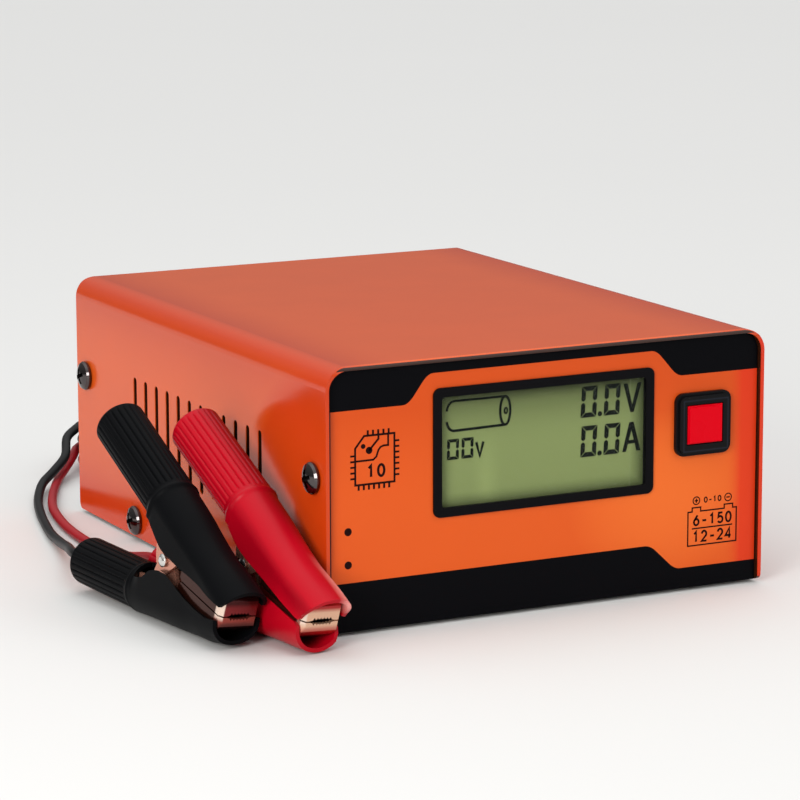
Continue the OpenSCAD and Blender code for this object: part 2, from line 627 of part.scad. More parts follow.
// One stamped half: trough in the grip, two ears at the pivot, then the wider jaw with its front
module stamping(half, hole, pin_z, low, nose) color("peru") {
    difference() {
        intersection() {
            grip_frame() channel(half, 4.6, 24, 3.4, 60);
            side_outline(ear(low));
        }
        grip_frame() channel(half - 0.9, 3.7, 26, 3, 64);
        translate([pin[0], -10, pin_z]) rotate([-90, 0, 0]) cylinder(d = hole, h = 20);
    }
    difference() {
        intersection() {
            hood_frame() channel(jaw_half, 5.2, 30, 10, 60);
            side_outline(concat([[8.6, 0.9], [9.6, 0.2], [jaw_reach, 0.2]], nose, [[24, 8], [8.6, 13]]));
            translate([0, 0, -10]) linear_extrude(40) polygon([[5, -8], [jaw_reach - 4, -8],
                [jaw_reach, 0.95 - jaw_half], [jaw_reach, jaw_half - 0.95], [jaw_reach - 4, 8], [5, 8]]);
        }
        intersection() {
            hood_frame() channel(jaw_half - 0.9, 4.3, 32, 5, 62);
            side_outline(concat([[9.5, -2], [jaw_reach - 1, -2]], [for (p = nose) p - [1, 0.4]],
                [[23.6, 7], [9.5, 12]]));
        }
        along_y(-(half - 0.7), 2 * half - 1.4) polygon([[7, -2], [9.6, -2], [9.6, 14], [7, 14]]);
        translate([jaw_reach - 2, 0, -13.3]) rotate([0, 90, 0]) cylinder(r = 14, h = 4);
        for (y = [-2.4 : 0.96 : 2.4]) translate([jaw_reach - 2, y, 0]) rotate([90, 0, 90])
            linear_extrude(4) polygon([[-0.48, 0.3], [0, 1.15], [0.48, 0.3]]);
    }
}

module upper_jaw() stamping(jaw_half - 0.45, 2 * rivet_r + 0.1, pin[2], 0, [[jaw_reach, 4.2], [29.5, 5.5]]);
module lower_jaw() mirror([0, 0, 1]) stamping(jaw_half - 1.65, 2 * rivet_r + 0.04, -pin[2], 1.3,
    [[jaw_reach, 1.6], [29.9, 3], [28.6, 4.6]]);

module rivet() color("silver") translate(pin) rotate([90, 0, 0]) {
    translate([0, 0, -jaw_half]) cylinder(r = rivet_r, h = 2 * jaw_half);
    for (s = [0, 1]) mirror([0, 0, s]) translate([0, 0, jaw_half - 0.1]) intersection() {
        cylinder(r = 1.75, h = 0.85);
        translate([0, 0, -1.6]) sphere(2.6);
    }
}

// Torsion spring round the rivet, its two legs under the backs of the grips
function spring_turn(a) = [2.6 * cos(a), 4.5 * ((a + 44.2) / 1168.4 - 0.5), 2.6 * sin(a)];
spring_leg = [-0.7, 0, 0.714];
spring_path = concat([for (k = [11, 5]) spring_turn(-44.2) + k * [-0.7, 0, -0.714]],
    [for (k = [0 : 26]) spring_turn(-44.2 + 1168.4 * k / 26)],
    [spring_turn(1124.2) + 5 * spring_leg, spring_turn(1124.2) + 11 * spring_leg]);
module spring() color("gray") translate(pin) tube(spring_path, 1.2, 6);

module black_clamp() translate(black_at) rotate(black_turn - [0, 0, 90]) children();
module red_clamp() translate(red_at) rotate(red_turn - [0, 0, 90]) children();

module black_lower_jaw() black_clamp() lower_jaw();
module black_upper_jaw() black_clamp() upper_jaw();
module black_rivet() black_clamp() rivet();
module black_spring() black_clamp() spring();
module black_lower_sleeve() color("black") black_clamp() lower_sleeve();
module black_upper_sleeve() color("black") black_clamp() upper_sleeve();
module red_lower_jaw() red_clamp() lower_jaw();
module red_upper_jaw() red_clamp() upper_jaw();
module red_rivet() red_clamp() rivet();
module red_spring() red_clamp() spring();
module red_lower_sleeve() color("red") red_clamp() lower_sleeve();
module red_upper_sleeve() color("red") red_clamp() upper_sleeve();

chassis();
rear_panel();
rubber_feet();
cover();
cover_screws();
front_film();
lcd_bezel();
lcd_window();
lcd_panel();
display_board();
display_screws();
key_housing();
key_button();
main_board();
board_standoffs();
board_screws();
transformer_core();
transformer_winding();
input_capacitor();
output_capacitors();
line_choke();
fuse();
fuse_clips();
primary_heatsink();
secondary_heatsink();
power_transistors();
output_rectifiers();
output_terminals();
fan_frame();
fan_rotor();
fan_guard();
fan_screws();
mains_inlet();
inlet_pins();
lead_grommet();
black_lead_root();
black_lead_coil();
black_lead();
red_lead_root();
red_lead_coil();
red_lead();
coil_tie();
black_lower_jaw();
black_upper_jaw();
black_rivet();
black_spring();
black_lower_sleeve();
black_upper_sleeve();
red_lower_jaw();
red_upper_jaw();
red_rivet();
red_spring();
red_lower_sleeve();
red_upper_sleeve();
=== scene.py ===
"""Bench battery charger: surfaces, prints, leads and finishes round its packed frame."""
import json
import math
from types import SimpleNamespace

import bmesh
import bpy
import numpy as np
from mathutils import Matrix, Vector


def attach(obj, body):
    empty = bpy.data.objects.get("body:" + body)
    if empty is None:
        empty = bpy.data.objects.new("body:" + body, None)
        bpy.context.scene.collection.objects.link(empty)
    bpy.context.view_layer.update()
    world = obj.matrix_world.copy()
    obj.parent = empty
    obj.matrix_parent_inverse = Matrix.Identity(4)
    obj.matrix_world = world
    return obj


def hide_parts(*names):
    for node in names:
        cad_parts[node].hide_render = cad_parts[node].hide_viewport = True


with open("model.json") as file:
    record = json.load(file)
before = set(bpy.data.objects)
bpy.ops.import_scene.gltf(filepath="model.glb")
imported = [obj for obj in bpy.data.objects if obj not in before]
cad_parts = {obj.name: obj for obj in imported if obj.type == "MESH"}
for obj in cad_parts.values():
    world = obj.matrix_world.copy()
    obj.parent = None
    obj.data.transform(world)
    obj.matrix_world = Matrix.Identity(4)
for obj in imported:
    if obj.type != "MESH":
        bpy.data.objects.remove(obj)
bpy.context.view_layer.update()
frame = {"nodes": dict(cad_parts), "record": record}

bl_info = {
    "name": "Battery charger",
    "version": (1, 0, 0),
    "blender": (4, 5, 0),
    "location": "View3D > Sidebar > Charger",
    "description": "Builds the charger's prints, sleeves, leads and finishes round its frame",
    "category": "Object",
}

MM = 0.001

# ---- places shared with the frame, in millimetres ----

FRONT_Y = -83.4          # face of the front film
BASE_Z = 1.0             # underside of the chassis
HALF_W, HALF_D = 66, 85  # outside of the cover
TOP_Z, BEND_R = 71, 6    # its top and the outer radius of its bends
SKIN = 0.25              # how far under the cover's outer faces its inside starts
FILM_HALF, FILM_TOP, FILM_R = 64.7, 68.7, 4.7          # half width, top edge and corners of the front film
KEY_AT, KEY_STEP = (47.5, 46.1), 6.9                   # the key's middle, and half the square step round it
WINDOW_AT, WINDOW_HALF = (-1.2, 45.8), (30.75, 14.7)   # the display window's middle and half size
COIL_CENTRE = (-26.0, 137.0)
COIL_TURNS, COIL_EXIT = 4 + 150 / 360, 150.0
COIL_RADIUS, COIL_PITCH = 18.6, 3.3
LEAD_D = 2.8
COIL_Z = {"red": LEAD_D / 2 + 0.9, "black": LEAD_D / 2 + 0.9 + 2 * COIL_PITCH}
LEAD_X = {"black": -12.0, "red": -8.0}
LEAD_Z = 20.0
GRIP_BACK, GRIP_RISE, GRIP_LEN = 45.2, 20.6, 32.5
GRIP_ANGLE, HOOD_DROP = math.radians(12.8), math.radians(1.6)
CLAMPS = {  # place of the rivet, and turns round X, Y and Z in degrees
    "black": ((-92.9, -54.6, 16.6), (-6.1, 14.4, 5.3)),
    "red": ((-76.4, -68.5, 16.6), (-5.0, 14.4, 5.6)),
}
ROOT_BENDS = {
    "black": [(-11.5, 98, 19.5), (-10, 111, 15.5), (-8, 122, 10.4)],
    "red": [(-8, 97, 18), (-8, 106, 11), (-8, 115, 4.4), (-7.8, 123, 2.4)],
}
RUN_BENDS = {
    "black": [(-49.5, 137, 11), (-54.5, 126, 7.8), (-61, 119, 5.1), (-67.6, 112, 3), (-74.4, 98, 1.6), (-80, 82, 1.5),
              (-84.5, 66, 1.5), (-88, 52, 1.8), (-91.5, 36, 3.2), (-95.5, 20, 5.6)],
    "red": [(-48, 136.5, 4.8), (-53, 130, 2.9), (-59, 121, 1.6), (-67, 104.5, 1.5), (-74, 87, 1.5), (-78, 71.5, 1.5),
            (-80.5, 57, 1.5), (-81.7, 42, 1.5), (-82.3, 26, 2), (-82.5, 8, 4.2)],
}


# ---- mesh helpers ----

def clamp_matrix(name):
    """A clamp's matrix from millimetres to metres: its rivet at the origin, X to the jaws, Z to the upper half."""
    at, turn = CLAMPS[name]
    rx, ry, rz = (math.radians(a) for a in (turn[0], turn[1], turn[2] - 90))
    m = Matrix.Rotation(rz, 4, "Z") @ Matrix.Rotation(ry, 4, "Y") @ Matrix.Rotation(rx, 4, "X")
    return Matrix.Scale(MM, 4) @ Matrix.Translation(at) @ m


def placed(points, matrix):
    """Points times a 4x4 matrix."""
    m = np.array(matrix)
    return points @ m[:3, :3].T + m[:3, 3]


def new_object(name, verts, faces, material):
    """A mesh object at the origin from points in metres and faces."""
    mesh = bpy.data.meshes.new(name)
    mesh.from_pydata(np.asarray(verts, float).tolist(), [], [tuple(int(i) for i in f) for f in faces])
    mesh.update()
    mesh.materials.append(material)
    obj = bpy.data.objects.new(name, mesh)
    bpy.context.scene.collection.objects.link(obj)
    return obj


def make_piece(name, verts, faces, material, body, weld=None, sharp=None):
    """An object that rides on a body.

    Points nearer than weld are merged; with sharp, faces are shaded smooth up to so many degrees.
    """
    obj = new_object(name, verts, faces, MATERIALS[material])
    if weld:
        merge(obj.data, weld)
    if sharp:
        obj.data.polygons.foreach_set("use_smooth", [True] * len(obj.data.polygons))
        obj.data.set_sharp_from_angle(angle=math.radians(sharp))
    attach(obj, body)
    return obj


def merge(mesh, distance):
    """Merges doubles and turns the faces outwards."""
    bm = bmesh.new()
    bm.from_mesh(mesh)
    bmesh.ops.remove_doubles(bm, verts=bm.verts, dist=distance)
    bmesh.ops.dissolve_degenerate(bm, edges=bm.edges, dist=1e-7)
    bmesh.ops.recalc_face_normals(bm, faces=bm.faces)
    bm.to_mesh(mesh)
    bm.free()
    mesh.update()


def grid_faces(rows, cols, start=0, closed=False, flip=False):
    """Quads of a rows x cols grid of points, numbered row by row; closed joins the last column to the first."""
    i, j = np.meshgrid(np.arange(rows - 1), np.arange(cols if closed else cols - 1), indexing="ij")
    k = (j + 1) % cols
    quads = np.stack([i * cols + j, (i + 1) * cols + j, (i + 1) * cols + k, i * cols + k], -1).reshape(-1, 4) + start
    return quads[:, ::-1] if flip else quads


def smooth_step(x):
    """0 below 0, 1 above 1, and 3x^2 - 2x^3 between."""
    x = np.clip(x, 0, 1)
    return x * x * (3 - 2 * x)


def tube_surface(path, radius, sides):
    """Points and faces of a tube: a circle carried along the path without twist, with closed ends."""
    path = np.asarray(path, float)
    step = np.diff(path, axis=0)
    step /= np.linalg.norm(step, axis=1)[:, None]
    tangent = np.vstack([step[:1], step[:-1] + step[1:], step[-1:]])
    tangent /= np.linalg.norm(tangent, axis=1)[:, None]
    side = np.zeros_like(path)
    last = np.array([0.31, 0.17, 0.93])
    for i, t in enumerate(tangent):
        last = last - (last @ t) * t
        last /= np.linalg.norm(last)
        side[i] = last
    other = np.cross(tangent, side)
    a = np.linspace(0, 2 * math.pi, sides, endpoint=False)
    ring = np.cos(a)[None, :, None] * side[:, None, :] + np.sin(a)[None, :, None] * other[:, None, :]
    verts = (path[:, None, :] + radius * ring).reshape(-1, 3)
    faces = [tuple(f) for f in grid_faces(len(path), sides, closed=True, flip=True)]
    n = len(path) * sides
    faces += [tuple(range(sides))[::-1], tuple(range(n - sides, n))]
    return verts, faces


def spline(points, steps):
    """Catmull-Rom curve through points, with so many steps in each span."""
    p = np.asarray(points, float)
    q = np.vstack([p[:1], p, p[-1:]])
    t = (np.arange(steps) / steps)[None, :, None]
    a, b, c, e = (q[k:len(q) - 3 + k, None, :] for k in range(4))
    curve = 0.5 * (2 * b + (c - a) * t + (2 * a - 5 * b + 4 * c - e) * t ** 2 + (3 * b - a - 3 * c + e) * t ** 3)
    return np.vstack([curve.reshape(-1, 3), p[-1:]])


# ---- shader values ----

def node_method(operation):
    """A method that makes a math node of a channel and another value."""
    return lambda self, other: maths(operation, self, other)


class Channel:
    """A shader value; calculating with it adds math nodes to its tree."""
    __add__, __sub__, __mul__ = node_method("ADD"), node_method("SUBTRACT"), node_method("MULTIPLY")
    __pow__, __lt__, __gt__ = node_method("POWER"), node_method("LESS_THAN"), node_method("GREATER_THAN")

    def __init__(self, tree, socket):
        self.tree, self.socket = tree, socket

    def __rsub__(self, other):
        return maths("SUBTRACT", other, self)

    def __abs__(self):
        return maths("ABSOLUTE", self)


def put(tree, place, value):
    """Links a channel or a socket into an input, or gives the input a plain value."""
    value = getattr(value, "socket", value)
    if hasattr(value, "is_output"):
        tree.links.new(value, place)
    else:
        place.default_value = value


def maths(operation, *values, clamp=False):
    """A math node on channels, sockets and numbers, of which one at least is a channel."""
    tree = next(v.tree for v in values if isinstance(v, Channel))
    node = tree.nodes.new("ShaderNodeMath")
    node.operation, node.use_clamp = operation, clamp
    for place, value in zip(node.inputs, values):
        put(tree, place, value)
    return Channel(tree, node.outputs[0])


def ramp(value, start, end):
    """0 to 1 between two marks of a value, and level past them."""
    scale = 1 / (end - start)
    return maths("MULTIPLY_ADD", value, scale, -start * scale, clamp=True)


def vector_maths(tree, operation, vector, other):
    """The outputs of a vector math node on a vector and another one, or a number for SCALE."""
    node = tree.nodes.new("ShaderNodeVectorMath")
    node.operation = operation
    put(tree, node.inputs[0], vector)
    put(tree, node.inputs["Scale"] if operation == "SCALE" else node.inputs[1], other)
    return node.outputs


def split(tree, vector):
    """The X, Y and Z channels of a vector."""
    node = tree.nodes.new("ShaderNodeSeparateXYZ")
    tree.links.new(vector, node.inputs[0])
    return [Channel(tree, socket) for socket in node.outputs]


class Spot:
    """A point of an object's surface: its coordinates as a socket, and in millimetres as x, y and z channels."""

    def __init__(self, tree):
        self.tree = tree
        self.coord = tree.nodes.new("ShaderNodeTexCoord").outputs["Object"]
        self.x, self.y, self.z = split(tree, vector_maths(tree, "SCALE", self.coord, 1 / MM)[0])


def noise(tree, vector, scale, detail):
    """The value of a noise texture on a vector."""
    node = tree.nodes.new("ShaderNodeTexNoise")
    for label, value in (("Vector", vector), ("Scale", scale), ("Detail", detail), ("Roughness", 0.55)):
        put(tree, node.inputs[label], value)
    return Channel(tree, node.outputs["Fac"])


def mix_colours(tree, factor, a, b):
    """A colour mix; factor, a and b are sockets, channels or values."""
    node = tree.nodes.new("ShaderNodeMix")
    node.data_type = "RGBA"
    for place, value in zip((0, 6, 7), (factor, a, b)):
        put(tree, node.inputs[place], value)
    return node.outputs[2]


# ---- finishes ----

def surface_group(brushed):
    """Shared noise, even or stretched: it shades a colour, moves the roughness and gives a fine height."""
    tree = bpy.data.node_groups.new("Brushed metal" if brushed else "Moulded surface", "ShaderNodeTree")
    texture = ("Stretch", "Vector") if brushed else ("Scale", "Float")
    for way, sockets in (("INPUT", (("Color", "Color"), ("Variation", "Float"), texture, ("Roughness", "Float"),
                                    ("Roughness spread", "Float"))),
                         ("OUTPUT", (("Color", "Color"), ("Roughness", "Float"), ("Height", "Float")))):
        for label, kind in sockets:
            tree.interface.new_socket(name=label, in_out=way, socket_type=f"NodeSocket{kind}")
    given = tree.nodes.new("NodeGroupInput").outputs
    result = tree.nodes.new("NodeGroupOutput").inputs
    coord = tree.nodes.new("ShaderNodeTexCoord").outputs["Object"]
    if brushed:
        fine = noise(tree, vector_maths(tree, "MULTIPLY", coord, given["Stretch"])[0], 1.0, 2.0)
        shade = fine * 0.5 + noise(tree, coord, 45.0, 3.0) * 0.5 - 0.5
    else:
        fine = noise(tree, coord, given["Scale"], 2.0)
        shade = noise(tree, coord, Channel(tree, given["Scale"]) * 0.06, 3.0) - 0.5
    amount = maths("MULTIPLY_ADD", shade, given["Variation"], 1.0)
    put(tree, result["Color"], vector_maths(tree, "SCALE", given["Color"], amount)[0])
    put(tree, result["Roughness"],
        maths("MULTIPLY_ADD", shade, given["Roughness spread"], given["Roughness"], clamp=True))
    put(tree, result["Height"], fine)
    return tree


GROUPS, MATERIALS = {}, {}
METAL, PLAIN, PRINT, PAINT = {"Metallic": 1.0}, {}, {"depth": 0.00001}, {"depth": 0.00002}


def srgb(*display):
    """Linear colour from 0-255 display values."""
    return tuple(c / 12.92 if c <= 0.04045 else ((c + 0.055) / 1.055) ** 2.4 for c in (v / 255 for v in display))


def finish(name, colour, texture, roughness, spread, variation, bump, specular=0.5, depth=0.00003, **sockets):
    """A Principled material on a shared surface group.

    The texture is the noise's scale on a moulded surface, or its stretch along the three axes on brushed metal.
    """
    mat = bpy.data.materials.new(name)
    mat.use_nodes = True
    tree = mat.node_tree
    bsdf = tree.nodes["Principled BSDF"]
    brushed = isinstance(texture, tuple)
    if brushed not in GROUPS:
        GROUPS[brushed] = surface_group(brushed)
    node = tree.nodes.new("ShaderNodeGroup")
    node.node_tree = GROUPS[brushed]
    for label, value in (("Color", (*colour, 1)), ("Roughness", roughness), ("Roughness spread", spread),
                         ("Variation", variation), ("Stretch" if brushed else "Scale", texture)):
        node.inputs[label].default_value = value
    tree.links.new(node.outputs["Color"], bsdf.inputs["Base Color"])
    tree.links.new(node.outputs["Roughness"], bsdf.inputs["Roughness"])
    if bump:
        relief = tree.nodes.new("ShaderNodeBump")
        relief.inputs["Strength"].default_value = bump
        relief.inputs["Distance"].default_value = depth
        tree.links.new(node.outputs["Height"], relief.inputs["Height"])
        tree.links.new(relief.outputs["Normal"], bsdf.inputs["Normal"])
    bsdf.inputs["Specular IOR Level"].default_value = specular
    for key, value in sockets.items():
        bsdf.inputs[key].default_value = value
    return mat


def make_materials(look):
    """Every finish of the charger, by material slot or, where its own differs, by node."""
    # Each row: slot, name, colour, texture, roughness, its spread, variation, bump, specular and what else differs.
    for slot, *row, more in (
            ("orange_paint", "Orange paint", look.cover_colour, 900, 0.17, 0.06, 0.05, 0.05, 0.30, PAINT),
            ("front_print", "Orange print", look.front_colour, 1500, 0.38, 0.06, 0.03, 0.08, 0.2, PRINT),
            ("black_print", "Black print", srgb(9, 9, 12), 1500, 0.34, 0.06, 0.1, 0.08, 0.03, PRINT),
            ("line_print", "Line print", srgb(26, 4, 4), 1500, 0.5, 0.1, 0.1, 0, 0.08, PLAIN),
            ("zinc_steel", "Zinc-plated steel", (0.50, 0.50, 0.48), (60, 700, 60), 0.36, 0.25, 0.35, 0.1, 0.5, METAL),
            ("rubber", "Black rubber", srgb(26, 26, 27), 1200, 0.72, 0.1, 0.3, 0.3, 0.5, PLAIN),
            ("dark_nickel", "Dark nickel screws", (0.10, 0.088, 0.088), (500, 500, 500), 0.12, 0.15, 0.25, 0.05, 0.5,
             METAL),
            ("gloss_black", "Gloss black bezel", srgb(9, 8, 11), 1300, 0.30, 0.08, 0.2, 0.08, 0.06, PLAIN),
            ("clear_window", "Clear window", (0.30, 0.33, 0.30), 600, 0.12, 0.03, 0.1, 0, 0.05, {"Alpha": 0.02}),
            ("lcd", "Display glass", look.display_colour, 500, 0.36, 0.05, 0.04, 0, 0.05, PLAIN),
            ("lcd_ink", "Display figures", srgb(6, 12, 8), 900, 0.7, 0.1, 0.15, 0, 0, PLAIN),
            ("circuit_board", "Solder mask", (0.02, 0.13, 0.05), 500, 0.3, 0.1, 0.4, 0.3, 0.5, PLAIN),
            ("bright_nickel", "Nickel plate", (0.72, 0.71, 0.68), (400, 400, 60), 0.22, 0.15, 0.2, 0.05, 0.5, METAL),
            ("black_plastic", "Black moulded plastic", srgb(13, 13, 15), 1400, 0.45, 0.15, 0.25, 0.2, 0.16, PLAIN),
            ("key_housing", "Key housing plastic", srgb(13, 13, 15), 1400, 0.40, 0.15, 0.25, 0.2, 0.10, PLAIN),
            ("red_key", "Red key", look.key_colour, 900, 0.28, 0.1, 0.08, 0.08, 0.06, PLAIN),
            ("brass", "Brass", (0.62, 0.42, 0.16), (60, 60, 900), 0.3, 0.2, 0.2, 0.15, 0.5, METAL),
            ("ferrite", "Ground ferrite", (0.03, 0.03, 0.035), 900, 0.42, 0.1, 0.5, 0.3, 0.5, PLAIN),
            ("winding_tape", "Polyester tape", (0.68, 0.42, 0.05), 300, 0.3, 0.1, 0.2, 0.15, 0.5, PLAIN),
            ("capacitor_sleeve", "Capacitor sleeve", (0.012, 0.02, 0.08), 700, 0.32, 0.1, 0.3, 0.15, 0.5, PLAIN),
            ("copper_wire", "Enamelled wire", (0.42, 0.12, 0.04), (900, 900, 120), 0.25, 0.2, 0.3, 0.15, 0.5,
             {"Metallic": 0.8}),
            ("fuse_glass", "Fuse glass", (0.9, 0.92, 0.92), 600, 0.05, 0.02, 0.1, 0, 0.5, {"Alpha": 0.3}),
            ("heatsink", "Extruded aluminium", (0.55, 0.56, 0.57), (60, 900, 900), 0.38, 0.25, 0.25, 0.15, 0.5,
             METAL),
            ("terminal_green", "Green terminals", (0.01, 0.16, 0.05), 900, 0.4, 0.1, 0.2, 0.15, 0.5, PLAIN),
            ("spring_steel", "Spring steel", (0.30, 0.29, 0.28), (700, 700, 90), 0.3, 0.2, 0.3, 0.15, 0.5, METAL),
            ("black_sleeve", "Black vinyl", look.black_vinyl, 800, 0.44, 0.16, 0.3, 0.22, 0.035, PLAIN),
            ("red_sleeve", "Red vinyl", look.red_vinyl, 800, 0.33, 0.14, 0.12, 0.20, 0.14, PLAIN),
            ("black_lead", "Black lead", srgb(14, 14, 16), 900, 0.42, 0.12, 0.3, 0.15, 0.15, PLAIN),
            ("red_lead", "Red lead", (0.34, 0.006, 0.012), 900, 0.42, 0.12, 0.15, 0.15, 0.25, PLAIN)):
        MATERIALS[slot] = finish(*row, **more)
    # Painted shade, light and highlights, mixed into the base colours by masks.
    for slot, mask, colour in (
            # painted shade along the cover's bends
            ("orange_paint", bend_shade, (0.42, 0.018, 0.002)),
            # painted shade standing in for the clamps' dark reflection on the left side
            ("orange_paint", side_reflection_shade, (0.52, 0.028, 0.001)),
            # painted shade: the cover's outer sides darker and redder towards the bottom
            ("orange_paint", product(fade("z", 26, 8, 0.7), outside), (0.60, 0.030, 0.003)),
            # painted shade: the front edge of the cover's right wall darker and redder beside the gap
            ("orange_paint", product(fade("x", 64.2, 64.5, 0.8), fade("y", -84, -84.4, 1)), (0.62, 0.022, 0.005)),
            # painted shade: the cover's inside near black
            ("orange_paint", shaded_inside_walls, (0.03, 0.008, 0.003)),
            # painted shade: the front print darker and redder towards the top, under the cover's lip
            ("front_print", fade("z", 28, 58, 0.6), (0.56, 0.055, 0.003)),
            # painted light: a lighter spot low on the front
            ("front_print", painted_light_spot, (0.84, 0.165, 0.022)),
            # painted shade: the front print darker and redder towards its right edge
            ("front_print", fade("x", 55, 60, 0.85), (0.68, 0.030, 0.005)),
            # painted shade: the front print slightly darker towards its left edge
            ("front_print", fade("x", -60, -65, 0.3), (0.50, 0.035, 0.012)),
            # painted shadow: a thin dark line in the gap at the film's left edge
            ("front_print", fade("x", -63.8, -63.9, 1), (0.03, 0.004, 0.003)),
            ("front_print", fade("z", 1.9, 1.7, 1), (0.003, 0.003, 0.004)),
            # painted highlight on the key housing's step
            ("key_housing", key_edge_highlight, (0.018, 0.020, 0.030)),
            # painted shade: the red clamp's upper grip darker towards its rear and its right side
            ("red_sleeve", clamp_part("red", (12, 0), (-3.0, 6.0), (0, 2)), (0.13, 0.0, 0.003)),
            # painted shade: a dark edge along the left side of the red upper sleeve
            ("red_sleeve", clamp_part("red", (-20, 10), (-5.8, -7.6), (1, 5)), (0.13, 0.0, 0.004)),
            # painted highlight: a pale streak along the right edge of the red upper sleeve near its tip
            ("red_sleeve", clamp_part("red", (15, 26), (1.0, 4.8), (1.5, 4.5)), (0.95, 0.36, 0.32))):
        masked(MATERIALS[slot], mask, colour)
    shade_display(MATERIALS["lcd"])
    # Painted shade: the jaw sides' dark colours stand in for the shade between the sleeves, and the black clamp's jaws
    # are the same copper as the red one's, painted darker and redder for shade and the red sleeve's reflection.
    red_side_shade, black_side_shade = (0.07, 0.018, 0.011), (0.045, 0.011, 0.006)
    for name, half, face, edge_shade, side in (
            ("red", "upper", look.copper_colour, (0.42, 0.03, 0.03), red_side_shade),
            ("red", "lower", look.copper_colour, (0.62, 0.03, 0.03), red_side_shade),
            ("black", "upper", look.shaded_copper_colour, (0.06, 0.008, 0.008), black_side_shade),
            ("black", "lower", (0.34, 0.065, 0.048), (0.02, 0.006, 0.006), black_side_shade)):
        MATERIALS[f"{name}_{half}_jaw"] = copper(name, half, face, edge_shade, side)


def masked(mat, mask, colour):
    """Mixes another colour in by a mask over the surface."""
    tree = mat.node_tree
    base = tree.nodes["Principled BSDF"].inputs["Base Color"]
    put(tree, base, mix_colours(tree, mask(Spot(tree)), base.links[0].from_socket, (*colour, 1)))


def product(first, *others):
    """The product of several masks."""
    return lambda spot: math.prod((mask(spot) for mask in others), start=first(spot))


def fade(axis, start, end, most):
    """A mask that grows with the square from 0 to most between two millimetre marks along x, y or z."""
    def mask(spot):
        u = ramp(getattr(spot, axis), start, end)
        return u * u * most
    return mask


def outside(spot):
    """1 on the outer faces of the cover's sides."""
    return abs(spot.x) > HALF_W - 0.1


def shaded_inside_walls(spot):
    """1 on the cover's inner faces and slot walls, behind its front and rear edges."""
    past = maths("MAXIMUM", abs(spot.x) - (HALF_W - BEND_R), 0)
    above = maths("MAXIMUM", spot.z - (TOP_Z - BEND_R), 0)
    return (past * past + above * above < (BEND_R - SKIN) ** 2) * (abs(spot.y) < HALF_D - SKIN)


def bend_shade(spot):
    """A soft band along the cover's two bends."""
    inward = maths("MAXIMUM", TOP_Z - spot.z, HALF_W - abs(spot.x))
    return ramp(inward, 24, 0) ** 1.6 * 0.75


def oval(across, up, radii):
    """1 in the middle of an oval, 0 on its edge and less outside it."""
    return 1 - ((abs(across) * (1 / radii[0])) ** 2 + (abs(up) * (1 / radii[1])) ** 2)


def key_edge_highlight(spot):
    """The worn edge line of a square step on the key's housing."""
    out = maths("MAXIMUM", abs(spot.x - KEY_AT[0]), abs(spot.z - KEY_AT[1]))
    return ramp(abs(out - KEY_STEP), 0.25, 0)


def side_reflection_shade(spot):
    """The front part of the cover's left side, with a round upper end and soft edges."""
    middle = 40
    up = maths("MAXIMUM", spot.z - middle, (middle - spot.z) * 0.45)
    patch = ramp(oval(spot.y + HALF_D, up, (47, 30)), 0, 1 / 3)
    return patch * ((spot.x < -60) * 0.65)


def painted_light_spot(spot):
    """A broad lighter spot low on the right half of the front."""
    return maths("MAXIMUM", oval(spot.x - 36, spot.z - 27, (30, 24)), 0) * 0.7


def clamp_ramp(name, axis, start, end):
    """A mask that goes from 0 to 1 between two millimetre marks along one of a clamp's own axes."""
    matrix = clamp_matrix(name)
    along = Vector([matrix[i][axis] / MM for i in range(3)])
    origin = along.dot(matrix.translation) / MM

    def mask(spot):
        reach = vector_maths(spot.tree, "DOT_PRODUCT", spot.coord, along / MM)["Value"]
        return ramp(Channel(spot.tree, reach), origin + start, origin + end)
    return mask


def clamp_part(name, *marks):
    """A mask over a part of a clamp, from pairs of marks along its three axes."""
    return product(*(clamp_ramp(name, axis, *pair) for axis, pair in enumerate(marks)))


def copper(name, half, face, edge_shade, side):
    """Polished copper of a jaw: its front, a deeper far edge, the sides, the ears and a bright corner."""
    mat = finish(f"{name} {half} jaw copper", face, (160, 160, 160), 0.20, 0.20, 0.30, 0.10, depth=0.00004,
                 Metallic=0.75)
    for mask, colour in (
            # painted shade and reflection: the plate's far edge, under the lip or rolled back, darker and redder
            (clamp_ramp(name, 2, *((-1.2, -3.6) if half == "lower" else (2.4, 3.6))), edge_shade),
            # painted highlight on the plate's lower left corner
            (product(clamp_ramp(name, 1, -4.6, -4.9), clamp_ramp(name, 2, -1.5, -0.3)), (0.9, 0.70, 0.58)),
            # painted shade on the jaw's sides behind its front
            (clamp_ramp(name, 0, 28.0, 27.4), side),
            # the ears near the rivet lighter again, out of the sides' painted shade
            (clamp_ramp(name, 0, 6.5, 4.5), (0.62, 0.27, 0.19))):
        masked(mat, mask, colour)
    return mat


